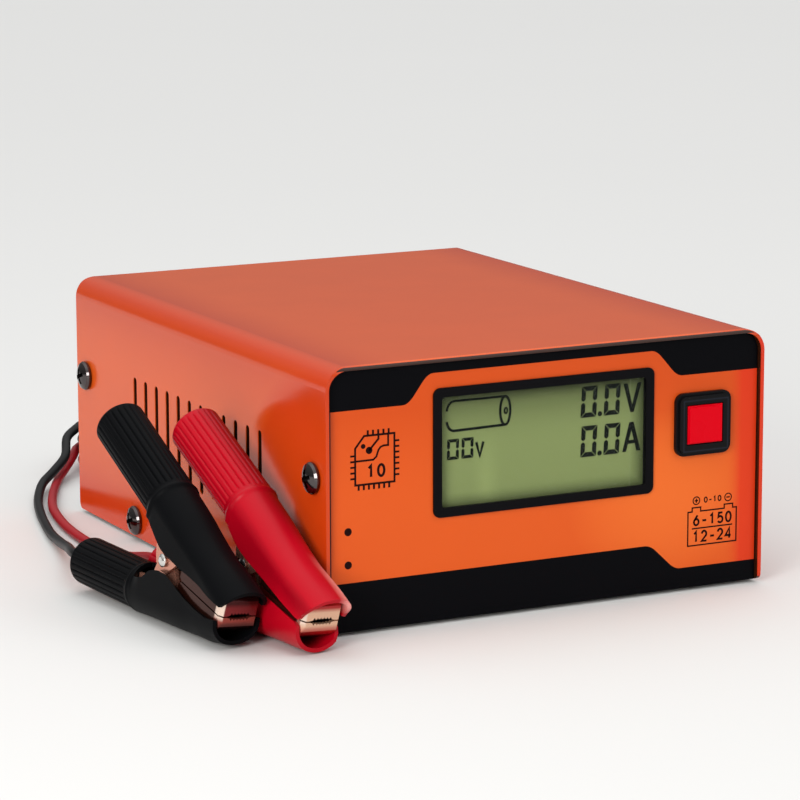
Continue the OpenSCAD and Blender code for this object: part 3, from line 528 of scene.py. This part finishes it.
def shade_display(mat):
    """Soft darker edges by the distance from the window's border, a faint smear and a paler upright strip."""
    tree = mat.node_tree
    base = tree.nodes["Principled BSDF"].inputs["Base Color"]
    spot = Spot(tree)
    x, z = spot.x - WINDOW_AT[0], spot.z - WINDOW_AT[1]
    # painted shade: darker within 3.2 mm of the window's border
    edge = maths("MINIMUM", WINDOW_HALF[0] - abs(x), WINDOW_HALF[1] - abs(z))
    shade = maths("MULTIPLY_ADD", ramp(edge, 0, 3.2) ** 0.7, 0.5, 0.5)
    # painted light: brighter low on the display and darker towards the top
    rise = maths("MAXIMUM", z, 0)
    smear = ramp(abs(x + 16.5), 4.5, 0) * ramp(z, 4.9, -9.1)
    level = maths("MULTIPLY_ADD", smear, 0.22, maths("MULTIPLY_ADD", rise * rise, -0.0037, 1.17))
    strip = x > 27.0
    colour = vector_maths(tree, "SCALE", base.links[0].from_socket, shade * level)[0]
    colour = mix_colours(tree, strip * 0.12, colour, (0.05, 0.09, 0.03, 1))
    put(tree, base, mix_colours(tree, strip * (x < 27.35) * 0.12, colour, (0.40, 0.46, 0.24, 1)))


# ---- settings ----

def colour_setting(name, description, default):
    """A property that holds a colour."""
    return bpy.props.FloatVectorProperty(name=name, description=description, subtype="COLOR", size=3, min=0, max=1,
                                         default=default)


def number_setting(name, description, default, **limits):
    """A property that holds a number."""
    return bpy.props.FloatProperty(name=name, description=description, default=default, **limits)


class ChargerHousingSettings(bpy.types.PropertyGroup):
    """Colours of the box."""
    cover_colour: colour_setting("Cover", "Paint of the folded cover", (0.68, 0.090, 0.009))
    front_colour: colour_setting("Front", "Orange of the printed front", (0.70, 0.096, 0.010))
    display_colour: colour_setting("Display", "Background of the display", (0.180, 0.226, 0.082))
    key_colour: colour_setting("Key", "Colour of the button's key", (0.66, 0.0, 0.008))


class ChargerClampSettings(bpy.types.PropertyGroup):
    """Shape and colours of the clamps."""
    black_vinyl: colour_setting("Black sleeve", "Vinyl of the negative clamp", (0.0028, 0.0030, 0.0036))
    red_vinyl: colour_setting("Red sleeve", "Vinyl of the positive clamp", (0.42, 0.001, 0.010))
    copper_colour: colour_setting("Copper", "Plating of the jaws", (0.80, 0.50, 0.34))
    # Painted shade: the same copper as the red clamp's jaws, darker and redder for shade and the red sleeve's
    # reflection.
    shaded_copper_colour: colour_setting("Dark copper", "Plating of the black clamp's jaws", (0.22, 0.022, 0.024))
    rib_count: bpy.props.IntProperty(name="Ribs", description="Ribs round each grip", default=24, min=8, max=48)
    rib_depth: number_setting("Rib depth", "Depth of the grooves", 0.00035, min=0, max=0.001, unit="LENGTH")
    wall: number_setting("Sleeve wall", "Thickness of a sleeve", 0.0011, min=0.0005, max=0.002, unit="LENGTH")


class ChargerLeadSettings(bpy.types.PropertyGroup):
    """The two leads."""
    diameter: number_setting("Diameter", "Outside diameter of a lead", LEAD_D * MM, min=0.002, max=0.004, unit="LENGTH")
    sides: bpy.props.IntProperty(name="Sides", description="Facets round a lead", default=20, min=8, max=32)


class ChargerStageSettings(bpy.types.PropertyGroup):
    """Floor, light and camera."""
    floor_colour: colour_setting("Floor", "Colour of the floor and backdrop", (0.72, 0.72, 0.71))
    key_power: number_setting("Key light", "Power of the large lamp", 9.5, min=0, unit="POWER")
    fill_power: number_setting("Fill light", "Power of the small lamp", 1.6, min=0, unit="POWER")
    world_level: number_setting("Sky", "Strength of the even light", 0.16, min=0, max=2)
    world_slope: number_setting("Sky slope", "How much brighter the sky is overhead", 1.75, min=0, max=2)


# ---- leads ----

def coil_route(z):
    """Piled coil: spirals in on its lower layer, climbs in the half turn at its eye, spirals out on the next."""
    turns = np.linspace(0, COIL_TURNS, int(COIL_TURNS * 48))
    mid = COIL_TURNS / 2
    r = COIL_RADIUS - COIL_PITCH * (mid - np.abs(turns - mid))
    a = np.radians(COIL_EXIT + 360 * (turns - COIL_TURNS))
    return np.stack([COIL_CENTRE[0] + r * np.cos(a), COIL_CENTRE[1] + r * np.sin(a),
                     z + COIL_PITCH * smooth_step((turns - mid) * 2 + 0.5)], -1)


def grip_end(name, back):
    """A point behind the end of a clamp's lower grip, on the grip's axis."""
    local = np.array([[-GRIP_BACK - back * math.cos(GRIP_ANGLE), 0, -GRIP_RISE - back * math.sin(GRIP_ANGLE)]])
    return placed(local, clamp_matrix(name))[0] / MM


def lead_route(name):
    """The whole centreline of a lead in metres: terminal, grommet, coil, run along the box and into the clamp."""
    x = LEAD_X[name]
    coil = coil_route(COIL_Z[name])
    into, out = (step / np.linalg.norm(step) for step in (coil[1] - coil[0], coil[-1] - coil[-2]))
    root = spline([(x, 60, LEAD_Z), (x, 88, LEAD_Z), *ROOT_BENDS[name], coil[0] - into * 4], 8)
    run = spline([coil[-1] + out * 3, *RUN_BENDS[name], grip_end(name, 9), grip_end(name, 0.5)], 8)
    return np.vstack([[(x, 54.05, LEAD_Z), (x, 57, LEAD_Z)], root, coil, run, grip_end(name, -6)]) * MM


def build_lead(name, settings):
    """One lead as a round tube along its route, declared as a cord that ends in its clamp."""
    route = lead_route(name)
    verts, faces = tube_surface(route, settings.diameter / 2, settings.sides)
    obj = make_piece(f"{name}_lead_cord", verts, faces, f"{name}_lead", "charger", sharp=40)
    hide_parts(f"{name}_lead_root", f"{name}_lead_coil", f"{name}_lead")


# ---- sleeves ----

REAR_RIM = [(-14.2, 9.3), (-12, 9), (-9.5, 8), (-7.3, 6.8)]
RIMS = {
    "black_upper": [(-4.6, 5.3), (-1.5, 3.9), (1.2, 3.5), (4, 3.4), (7.3, 3.2), (12, 3.3), (19, 3.4), (24.3, 3.0),
                    (40, 2.9)],
    "red_upper": [(-4.6, 5.5), (-1.5, 4.5), (1.7, 3.8), (7.8, 2.8), (13.9, 1.8), (19.8, 1.0), (25.5, 0.7),
                  (28.9, 0.4), (40, 0.1)],
    "black_lower": [(-5, 3.9), (-2.4, 2.4), (0, 1.5), (3.3, 1.0), (6.5, 1.4), (9.5, 2.0), (15, 2.8), (20, 2.9),
                    (25, 2.6), (27.5, 1.9), (30, 0.9), (40, 0.9)],
    "red_lower": [(-5, 3.9), (-2.4, 2.4), (0, 1.6), (3.3, 1.1), (9.5, 0.9), (16.5, 0.8), (28.2, 0.8), (29.3, 1.4),
                  (29.8, 2.6), (40, 2.6)],
}
CAP_WALL = 1.7


def sleeve_surface(name, settings, lower):
    """One vinyl sleeve in the clamp's own frame, upper half up.

    Station s runs along the grip's axis from the rear cap; t runs from rim to rim round the back. Up to the ring the
    section is a circle of radius r(s) less cosine-power grooves; past it the sides below the axis straighten into a U
    and stop at the rim, whose height over the clamp's middle plane is a polyline in x. The inner surface is the same
    section less the wall.
    """
    wall = settings.wall / MM
    tip = 29.6 if lower else 31.5 if name == "red" else 30.6
    ring = 31.9 if lower else 35.6
    s_end = (tip + GRIP_BACK) / math.cos(GRIP_ANGLE + HOOD_DROP * 0.5)
    s = np.unique(np.concatenate([[0, 0.15, 0.45, 0.9, 1.3], np.linspace(1.3, 29.5, 26), np.linspace(29.5, 39, 34),
                                  np.linspace(39, s_end, 44)]))[:, None]
    t = np.linspace(-1, 1, settings.rib_count * 10 + 1)
    g = np.array([math.cos(GRIP_ANGLE), -math.sin(GRIP_ANGLE)])
    h = np.array([math.cos(GRIP_ANGLE + HOOD_DROP), -math.sin(GRIP_ANGLE + HOOD_DROP)])
    after = np.clip(s - GRIP_LEN, 0, None)
    shorter = (0.7 if name == "red" and not lower else 0) * np.clip(1 - s / ring, 0, 1)
    axis = np.array([-GRIP_BACK, GRIP_RISE]) + (np.minimum(s, GRIP_LEN) + shorter) * g + after * h
    bend = smooth_step((s - GRIP_LEN + 2) / 4)
    fwd = g * (1 - bend) + h * bend
    up = np.stack([-fwd[:, 1], fwd[:, 0]], -1)
    up *= np.sign(up[:, 1])[:, None]

    along = np.clip((s - 33) / (s_end - 33), 0, 1)
    past = smooth_step((s - ring) / 1.5)
    radius = (6.62 if lower else 7.0) - 0.9 * (1 - np.clip(s / 0.9, 0, 1)) ** 1.6
    radius = radius * (1 - past) + 6.84 * past + 0.34 * np.exp(-((s - ring) / 0.75) ** 2)
    hood = smooth_step((s - 32.5) / 6)
    waist = np.exp(-((along - 0.70) / 0.13) ** 2)
    pinch = np.exp(-((along - 0.52) / 0.17) ** 2)
    flare = smooth_step((along - 0.80) / 0.20)
    if lower:
        half_w = radius + hood * (0.13 - 0.15 * waist + 0.02 * flare)
        top = radius + hood * (-0.15 - 0.15 * waist - (0.9 if name == "black" else 0.2) * flare)
    else:
        half_w = radius + hood * (0.13 - 0.35 * waist - 0.35 * pinch + 0.10 * flare)
        top = radius + hood * (-0.1 - 0.5 * waist - 0.75 * pinch + 0.15 * flare)

    def section(wide, high, angle, ribs):
        """Offsets across and up at angles from the top: a circle, straightened below the axis as the hood grows."""
        if ribs:
            wave = (0.5 + 0.5 * np.cos(settings.rib_count * angle)) ** 6
            span = smooth_step((s - 1.0) / 1.2) * (1 - smooth_step((s - ring + 2.3) / 1.0))
            groove = settings.rib_depth / MM * wave * span
            wide, high = wide - groove, high - groove
        a = np.abs(angle)
        arc, rest = np.minimum(a, math.pi / 2), np.clip(a - math.pi / 2, 0, None)
        y = wide * np.sin(arc)
        z = np.where(high > wide, (high - wide) + wide * np.cos(arc), high * np.cos(arc))
        y_low = wide * np.cos(rest) * (1 - hood) + wide * hood
        z_low = -wide * np.sin(rest) * (1 - hood) - wide * rest * 1.15 * hood + np.where(high > wide, high - wide, 0)
        return np.sign(angle) * np.where(a > math.pi / 2, y_low, y), np.where(a > math.pi / 2, z_low, z)

    def lifted(offset):
        """Clamp X and Z of points that lie so far above the axis."""
        return axis[:, :1] + up[:, :1] * offset, axis[:, 1:] + up[:, 1:] * offset

    dense = np.linspace(0.01, math.pi, 400)[None, :]
    xw, zw = lifted(section(half_w, top, dense, False)[1])
    line = np.array(REAR_RIM + RIMS[f"{name}_{'lower' if lower else 'upper'}"])
    rim = np.interp(xw, line[:, 0], line[:, 1])
    free = smooth_step((s - 33.0) / 1.6)

    def limit(drop):
        """The angle at which each station's section meets the rim, the rim raised by drop."""
        below = (zw < rim + drop) & (s > 33.2)
        first = np.where(below.any(1), below.argmax(1), 399)
        return math.pi * (1 - free) + dense[0, first][:, None] * free

    far = 3.4 * smooth_step((xw - 24) / 6) if name == "red" and lower else 0
    angle = np.where(t < 0, limit(0), limit(far)) * t

    y_out, z_out = section(half_w, top, angle, True)
    y_in, z_in = section(half_w - wall, top - wall, angle, False)

    def to_points(y, z, shift):
        x, z = lifted(z)
        return np.stack([x + shift * fwd[:, :1], y, z + shift * fwd[:, 1:]], -1)

    lip = smooth_step((along - 0.93) / 0.07)
    edge = np.cos(np.clip(np.abs(angle), 0, math.pi / 2))
    if lower:
        push = lip * (-0.9 * edge ** 2 + 0.2)
    else:
        push = lip * (1.5 * edge - 1.6 * np.clip(np.abs(angle) / 1.9, 0, 1) ** 4)
    outer = to_points(y_out, z_out, 0)
    inner = to_points(y_in, z_in, np.maximum(CAP_WALL - s, 0))
    lean = {"black": 0.15, "red": -0.15}[name] * (not lower)
    for block in (outer, inner):
        block[..., 1] += lean * np.clip(1 - s / ring, 0, 1) ** 1.5
        block[..., 0] += push * fwd[:, :1]
        block[..., 2] += push * fwd[:, 1:]
    return outer, inner, free


def build_sleeve(name, half, settings):
    """A sleeve's outer and inner grids, closed at the rims, the front and the rear cap."""
    lower = half == "lower"
    outer, inner, free = sleeve_surface(name, settings, lower)
    rows, cols = outer.shape[:2]
    centre_out = np.array([-GRIP_BACK, 0, GRIP_RISE])
    centre_in = centre_out + CAP_WALL * np.array([math.cos(GRIP_ANGLE), 0, -math.sin(GRIP_ANGLE)])

    def cap(ring, centre, factors):
        """Rings that close a tube's end: the end ring drawn in towards the centre."""
        return np.stack([centre + (ring - centre) * f for f in factors])

    caps = (0.3, 0.35, 0.7, 0.97) if lower else (0, 0.33, 0.7, 0.97)
    outer_all = np.concatenate([cap(outer[0], centre_out, caps), outer])
    inner_all = np.concatenate([cap(inner[0], centre_in, caps), inner])
    rows += 4
    verts = np.concatenate([outer_all.reshape(-1, 3), inner_all.reshape(-1, 3)])
    count = rows * cols
    faces = [grid_faces(rows, cols), grid_faces(rows, cols, start=count, flip=True)]
    front = (rows - 1) * cols + np.arange(cols - 1)
    faces.append(np.stack([front, front + count, front + count + 1, front + 1], -1))
    i = np.flatnonzero(np.concatenate([np.zeros(3, bool), free[:, 0] > 0]))
    for col, flip in ((0, False), (cols - 1, True)):
        a = i * cols + col
        strip = np.stack([a, a + count, a + cols + count, a + cols], -1)
        faces.append(strip[:, ::-1] if flip else strip)
    if lower:
        rear = np.arange(cols - 1)
        faces.append(np.stack([rear, rear + 1, rear + count + 1, rear + count], -1))
        verts[:, 2] *= -1
    obj = make_piece(f"{name}_{half}_grip", placed(verts, clamp_matrix(name)), np.concatenate(faces),
                     f"{name}_sleeve", "charger" if lower else f"{name}_clamp_upper", weld=2e-6,
                     sharp=45)
    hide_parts(f"{name}_{half}_sleeve")


# ---- prints on the front ----

def print_plate(name, verts2, faces, material, y=FRONT_Y, thickness=0.05):
    """A flat shape drawn in x and z, given a thickness in front of a face."""
    verts2 = np.asarray(verts2, float)
    n = len(verts2)
    front = np.stack([verts2[:, 0], np.full(n, y - thickness), verts2[:, 1] + BASE_Z], -1)
    back = front + [0, thickness, 0]
    edges = {(a, b): None for f in faces for a, b in zip(f, [*f[1:], f[0]])}
    border = [(a, b) for a, b in edges if (b, a) not in edges]
    all_faces = [tuple(f) for f in faces] + [tuple(n + i for i in f[::-1]) for f in faces]
    all_faces += [(b, a, n + a, n + b) for a, b in border]
    make_piece(name, np.vstack([front, back]) * MM, all_faces, material, "charger", weld=1e-7)


class Strokes:
    """Collects ribbons and filled outlines drawn in x and z, millimetres."""

    def __init__(self):
        self.verts, self.faces = [], []

    def polygon(self, points):
        """A convex outline."""
        p = [tuple(q) for q in points]
        area = sum(a[0] * b[1] - b[0] * a[1] for a, b in zip(p, p[1:] + p[:1]))
        if area < 0:
            p = p[::-1]
        n = len(self.verts)
        self.verts += p
        self.faces.append(tuple(range(n, n + len(p))))

    def line(self, points, width, closed=False):
        """A ribbon of one width along a line, mitred at its corners."""
        p = np.asarray(points, float)
        apart = np.linalg.norm(np.roll(p, -1, 0) - p, axis=1) > 1e-6
        apart[-1] |= not closed
        p = p[apart]
        nxt = np.roll(p, -1, 0) - p
        prv = p - np.roll(p, 1, 0)
        if not closed:
            nxt[-1], prv[0] = prv[-1], nxt[0]
        nxt /= np.linalg.norm(nxt, axis=1)[:, None]
        prv /= np.linalg.norm(prv, axis=1)[:, None]
        na, nb = np.stack([-prv[:, 1], prv[:, 0]], -1), np.stack([-nxt[:, 1], nxt[:, 0]], -1)
        mitre = na + nb
        mitre /= np.linalg.norm(mitre, axis=1)[:, None]
        mitre /= np.clip((mitre * na).sum(1), 0.5, 1)[:, None]
        left, right = p + mitre * width / 2, p - mitre * width / 2
        n, k = len(self.verts), len(p)
        self.verts += [tuple(q) for q in left] + [tuple(q) for q in right]
        for i in range(k if closed else k - 1):
            j = (i + 1) % k
            self.faces.append((n + k + i, n + k + j, n + j, n + i))

    def dot(self, centre, radius, sides=28):
        """A filled circle."""
        a = np.linspace(0, 2 * math.pi, sides, endpoint=False)
        self.polygon(np.stack([centre[0] + radius * np.cos(a), centre[1] + radius * np.sin(a)], -1))


def arc_points(centre, rx, rz, start, end, count):
    """Points of an ellipse's arc, angles in degrees."""
    a = np.radians(np.linspace(start, end, count))
    return [(centre[0] + rx * math.cos(k), centre[1] + rz * math.sin(k)) for k in a]


def soft_polyline(x, points, window):
    """A polyline's height at x, rounded at its corners by a moving mean of so wide a window."""
    p = np.asarray(points, float)
    shift = np.linspace(-window / 2, window / 2, 25)
    return np.interp(x[:, None] + shift[None, :], p[:, 0], p[:, 1]).mean(1)


def film_top(x):
    """Height of the film's top edge: level, and round at its two corners."""
    over = np.clip(np.abs(x) - (FILM_HALF - FILM_R), 0, FILM_R)
    return FILM_TOP - FILM_R + np.sqrt(FILM_R ** 2 - over ** 2)


def band(name, low, high):
    """A printed band between two curves over x, as a grid of two rows."""
    end = FILM_HALF - 0.02
    x = np.unique(np.concatenate([np.linspace(-end, end, 260), np.linspace(-end, -60, 24), np.linspace(60, end, 24)]))
    lo, hi = low(x), high(x)
    verts = np.concatenate([np.stack([x, lo], -1), np.stack([x, hi], -1)])
    n = len(x)
    faces = [(i, i + 1, n + i + 1, n + i) for i in range(n - 1)]
    print_plate(name, verts, faces, "black_print")


def segment_zero(strokes, x, z, width, height, weight, slant):
    """A nought of six mitred bars with its lower left corner at x, z."""
    w, h, gap = width / 2, height / 2, weight * 0.10
    bars = []
    for v in (1, -1):
        bars.append([(gap - w, v * h), (w - gap, v * h), (w - weight - gap, v * (h - weight)),
                     (weight + gap - w, v * (h - weight))])
        for u in (1, -1):
            bars.append([(u * w, v * (h - gap)), (u * (w - weight), v * (h - weight - gap)),
                         (u * (w - weight), v * (gap + 0.4 * weight)), (u * (w - weight / 2), v * gap),
                         (u * w, v * (gap + 0.4 * weight))])
    for bar in bars:
        strokes.polygon([(x + w + a + slant * (b + h), z + h + b) for a, b in bar])


NUMERALS = {
    "0": arc_points((0.5, 0.5), 0.46, 0.5, 0, 345, 24),
    "1": [(0.15, 0.76), (0.5, 1.0), (0.5, 0.0)],
    "2": [*arc_points((0.48, 0.68), 0.42, 0.32, 170, -25, 10), (0.05, 0.0), (0.95, 0.0)],
    "4": [(0.72, 0.0), (0.72, 1.0), (0.0, 0.27), (1.0, 0.27)],
    "5": [(0.88, 1.0), (0.22, 1.0), (0.13, 0.56), *arc_points((0.46, 0.32), 0.46, 0.32, 110, -150, 12)],
    "6": [(0.72, 1.0), (0.12, 0.48), *arc_points((0.5, 0.31), 0.44, 0.31, 160, -200, 18)],
    "-": [(0.15, 0.42), (0.85, 0.42)],
}


def numerals(strokes, figures, x, z, width, height, weight):
    """Plain stroked figures side by side from x, on a base line at z."""
    for k, character in enumerate(figures):
        left = x + k * (width + 1.5 * weight)
        strokes.line([(left + p[0] * width, z + p[1] * height) for p in NUMERALS[character]], weight,
                     closed=character == "0")


def build_front_prints(scene):
    """Two black bands, bullets, a chip and a battery pictogram."""
    band("upper_band", lambda x: soft_polyline(
        x, [(-70, 58.4), (-41.6, 58.4), (-35.9, 66.1), (32.9, 66.3), (39.4, 58.9), (70, 58.8)], 3.2), film_top)
    band("lower_band", lambda x: np.full_like(x, 0.05), lambda x: soft_polyline(
        x, [(-70, 13.0), (31.6, 13.0), (39.3, 5.7), (70, 5.6)], 3.4))
    ink = Strokes()
    for z in (26.6, 17.8):
        ink.dot((-59.05, z), 1.05)
    left, right, low, high = -56.9, -45.6, 38.65, 51.4
    ink.line([(left, low), (right, low), (right, high), (left + 2.6, high), (left, high - 3.1)], 0.54, closed=True)
    for k in range(7):
        x, z = -55.93 + k * 1.467, 40.45 + k * 1.49
        ink.line([(x, low - 1.45), (x, low - 0.2)], 0.56)
        ink.line([(right + 0.2, z), (right + 1.4, z)], 0.5)
        if k < 5:
            ink.line([(-53.25 + k * 1.5, high + 0.2), (-53.25 + k * 1.5, high + 1.4)], 0.56)
            ink.line([(left - 1.4, z - 0.05), (left - 0.2, z - 0.05)], 0.5)
    ink.dot((-52.9, 47.5), 0.95)
    ink.dot((-54.6, 48.7), 0.65)
    ink.line([(-52.9, 47.5), (-50.2, 50.3), (-50.2, high - 0.2)], 0.56)
    ink.line([(left + 0.2, 44.9), (-51.7, 44.95), (-50.8, 45.7), (-50.2, 47.4), (-49.6, 48.1), (-48.7, 48.4),
              (-47.4, 48.4), (-47.4, high - 0.2)], 0.5)
    numerals(ink, "10", -53.3, 40.5, 1.9, 3.0, 0.68)
    ink.line([(43.4, 11.5), (58.8, 11.5), (58.8, 20.9), (57.6, 20.9), (57.6, 22.0), (54.9, 22.0), (54.9, 20.9),
              (47.4, 20.9), (47.4, 22.0), (44.7, 22.0), (44.7, 20.9), (43.4, 20.9)], 0.38, closed=True)
    ink.line([(44.7, 16.2), (57.5, 16.2)], 0.38)
    numerals(ink, "6-150", 45.2, 17.1, 1.7, 2.7, 0.57)
    numerals(ink, "12-24", 45.2, 12.5, 1.7, 2.8, 0.57)
    numerals(ink, "0-10", 48.5, 23.2, 0.95, 1.4, 0.34)
    for centre, plus in (((46.0, 23.9), True), ((56.1, 23.9), False)):
        ink.line(arc_points(centre, 1.05, 1.05, 0, 350, 36), 0.3, closed=True)
        ink.line([(centre[0] - 0.55, centre[1]), (centre[0] + 0.55, centre[1])], 0.34)
        if plus:
            ink.line([(centre[0], centre[1] - 0.6), (centre[0], centre[1] + 0.6)], 0.34)
    print_plate("front_pictograms", ink.verts, ink.faces, "line_print", thickness=0.04)


UNITS = {  # outlines of the unit letters' strokes
    "V": [[(23.8, 57.8), (25.1, 57.8), (27.05, 49.9), (26.0, 49.9)],
          [(28.15, 57.8), (29.4, 57.8), (27.05, 49.9), (26.0, 49.9)]],
    "A": [[(25.75, 47.2), (27.05, 47.2), (24.75, 39.2), (23.6, 39.2)],
          [(25.75, 47.2), (27.05, 47.2), (29.25, 39.2), (28.0, 39.2)],
          [(24.5, 41.3), (28.3, 41.3), (28.1, 42.3), (24.7, 42.3)]],
}


def build_display_figures(scene):
    """Battery outline, figures and unit letters just in front of the display."""
    ink = Strokes()
    ink.line([(-12.3, 57.7), (-27.2, 57.75), *arc_points((-27.2, 55.0), 2.2, 2.75, 95, 176, 10)], 0.62)
    ink.line([(-12.3, 50.1), (-27.2, 49.85), *arc_points((-27.2, 52.6), 2.2, 2.75, 265, 184, 10)], 0.72)
    ink.line(arc_points((-12.1, 53.9), 1.5, 3.8, 0, 350, 36), 0.72, closed=True)
    ink.line(arc_points((-11.9, 53.85), 0.42, 0.75, 0, 340, 18), 0.5, closed=True)
    for x in (-29.4, -25.1):
        segment_zero(ink, x, 42.2, 3.5, 5.5, 0.86, 0.02)
    ink.line([(-20.7, 46.2), (-19.65, 42.5), (-18.6, 46.2)], 0.78)
    for low, high, unit in ((49.7, 58.0, "V"), (39.0, 47.3, "A")):
        for x in (10.7, 17.8):
            segment_zero(ink, x - 0.05, low, 4.8, high - low + 0.1, 1.28, 0.05)
        ink.dot((16.6, low + 0.65), 0.7, 12)
        for outline in UNITS[unit]:
            ink.polygon(outline)
    print_plate("display_figures", ink.verts, ink.faces, "lcd_ink", y=FRONT_Y + 1.79, thickness=0.06)


# ---- building steps ----

def build_stage(scene):
    """Pale floor, soft light and the camera."""
    settings = scene.charger_stage
    cam = bpy.data.cameras.new("Camera")
    cam.lens, cam.sensor_width, cam.clip_start, cam.clip_end = 157.32, 36, 0.05, 50
    camera = bpy.data.objects.new("Camera", cam)
    scene.collection.objects.link(camera)
    columns = ((0.891145, -0.453711, -0.002702), (0.089315, 0.169581, 0.981461), (-0.444842, -0.874865, 0.191644))
    camera.matrix_world = Matrix.Translation((-0.44416, -0.87051, 0.23329)) @ Matrix(columns).transposed().to_4x4()
    scene.camera = camera
    scene.view_settings.view_transform = "Standard"
    add_sky(scene, settings)
    add_floor(settings)
    target = Vector((-0.02, 0.0, 0.035))
    for name, place, size, power, colour in (
            ("Key lamp", (-0.95, -0.75, 0.42), 0.55, settings.key_power, (1.0, 0.985, 0.96)),
            ("Fill lamp", (0.75, -0.95, 0.55), 0.8, settings.fill_power, (1.0, 1.0, 1.0))):
        data = bpy.data.lights.new(name, "AREA")
        data.shape, data.size, data.energy, data.color = "DISK", size, power, colour
        lamp = bpy.data.objects.new(name, data)
        scene.collection.objects.link(lamp)
        lamp.location = place
        lamp.rotation_euler = (target - Vector(place)).to_track_quat("-Z", "Y").to_euler()


def add_sky(scene, settings):
    """Even light that grows overhead with the square of the direction's height."""
    scene.world = bpy.data.worlds.new("Studio")
    scene.world.use_nodes = True
    tree = scene.world.node_tree
    up = maths("MAXIMUM", split(tree, tree.nodes.new("ShaderNodeTexCoord").outputs["Generated"])[2], 0)
    back = tree.nodes["Background"].inputs
    back["Color"].default_value = (1, 1, 1, 1)
    put(tree, back["Strength"], maths("MULTIPLY_ADD", up * up, settings.world_slope, settings.world_level))


def add_floor(settings):
    """A wide level sheet under the charger."""
    x, y = np.meshgrid(np.linspace(-6, 6, 13), np.linspace(-4, 8, 13))
    verts = np.stack([x, y, np.zeros_like(x)], -1).reshape(-1, 3)
    paper = finish("Floor paper", settings.floor_colour, 40, 0.9, 0.05, 0.02, 0)
    obj = new_object("Floor", verts, grid_faces(*x.shape, flip=True), paper)


def build_finishes(scene):
    """Makes every finish and puts it on the frame's nodes."""
    look = {key: getattr(settings, key) for settings in (scene.charger_housing, scene.charger_clamps)
            for key in settings.__annotations__}
    make_materials(SimpleNamespace(**look))
    for row in frame["record"]["subparts"]:
        own = row["node"] if row["node"] in MATERIALS else row["material_slot"]
        dress(frame["nodes"][row["node"]], MATERIALS[own])


def dress(obj, material):
    """Puts one material on all of an object's slots."""
    if not obj.material_slots:
        obj.data.materials.append(material)
    for place in obj.material_slots:
        place.material = material


def build_leads(scene):
    """Both leads, from the terminals through their coils into the clamps."""
    for name in CLAMPS:
        build_lead(name, scene.charger_leads)


def build_sleeves(scene):
    """The four vinyl sleeves of the clamps."""
    for name in CLAMPS:
        for half in ("lower", "upper"):
            build_sleeve(name, half, scene.charger_clamps)


# ---- add-on ----

def operator(key, label, build):
    """An operator that runs one building step."""
    def execute(self, context):
        build(context.scene)
        return {"FINISHED"}
    return type(f"CHARGER_OT_{key}", (bpy.types.Operator,), {
        "__doc__": build.__doc__, "bl_idname": f"charger.{key}", "bl_label": label,
        "bl_options": {"REGISTER", "UNDO"}, "execute": execute})


OPERATORS = (
    operator("stage", "Stage and camera", build_stage), operator("finishes", "Finishes", build_finishes),
    operator("leads", "Leads", build_leads), operator("sleeves", "Clamp sleeves", build_sleeves),
    operator("prints", "Front prints", build_front_prints),
    operator("display", "Display figures", build_display_figures))
SETTINGS = {"charger_housing": ChargerHousingSettings, "charger_clamps": ChargerClampSettings,
            "charger_leads": ChargerLeadSettings, "charger_stage": ChargerStageSettings}


class CHARGER_PT_panel(bpy.types.Panel):
    """Lists the charger's operators and settings."""
    bl_label = "Battery charger"
    bl_idname = "CHARGER_PT_panel"
    bl_space_type = "VIEW_3D"
    bl_region_type = "UI"
    bl_category = "Charger"

    def draw(self, context):
        for settings in SETTINGS:
            box = self.layout.box()
            owner = getattr(context.scene, settings)
            for key in owner.__annotations__:
                box.prop(owner, key)
        for step in OPERATORS:
            self.layout.operator(step.bl_idname)


CLASSES = (*SETTINGS.values(), *OPERATORS, CHARGER_PT_panel)


def register():
    """Registers the classes and hangs the settings on the scene."""
    for cls in CLASSES:
        bpy.utils.register_class(cls)
    for name, cls in SETTINGS.items():
        setattr(bpy.types.Scene, name, bpy.props.PointerProperty(type=cls))


def unregister():
    """Takes the settings and classes away again."""
    for name in SETTINGS:
        delattr(bpy.types.Scene, name)
    for cls in reversed(CLASSES):
        bpy.utils.unregister_class(cls)


def main():
    """Builds everything and notes both boxes."""
    register()
    bpy.ops.charger.stage()
    bpy.ops.charger.finishes()
    bpy.ops.charger.leads()
    bpy.ops.charger.sleeves()
    bpy.ops.charger.prints()
    bpy.ops.charger.display()


if __name__ == "__main__":
    main()
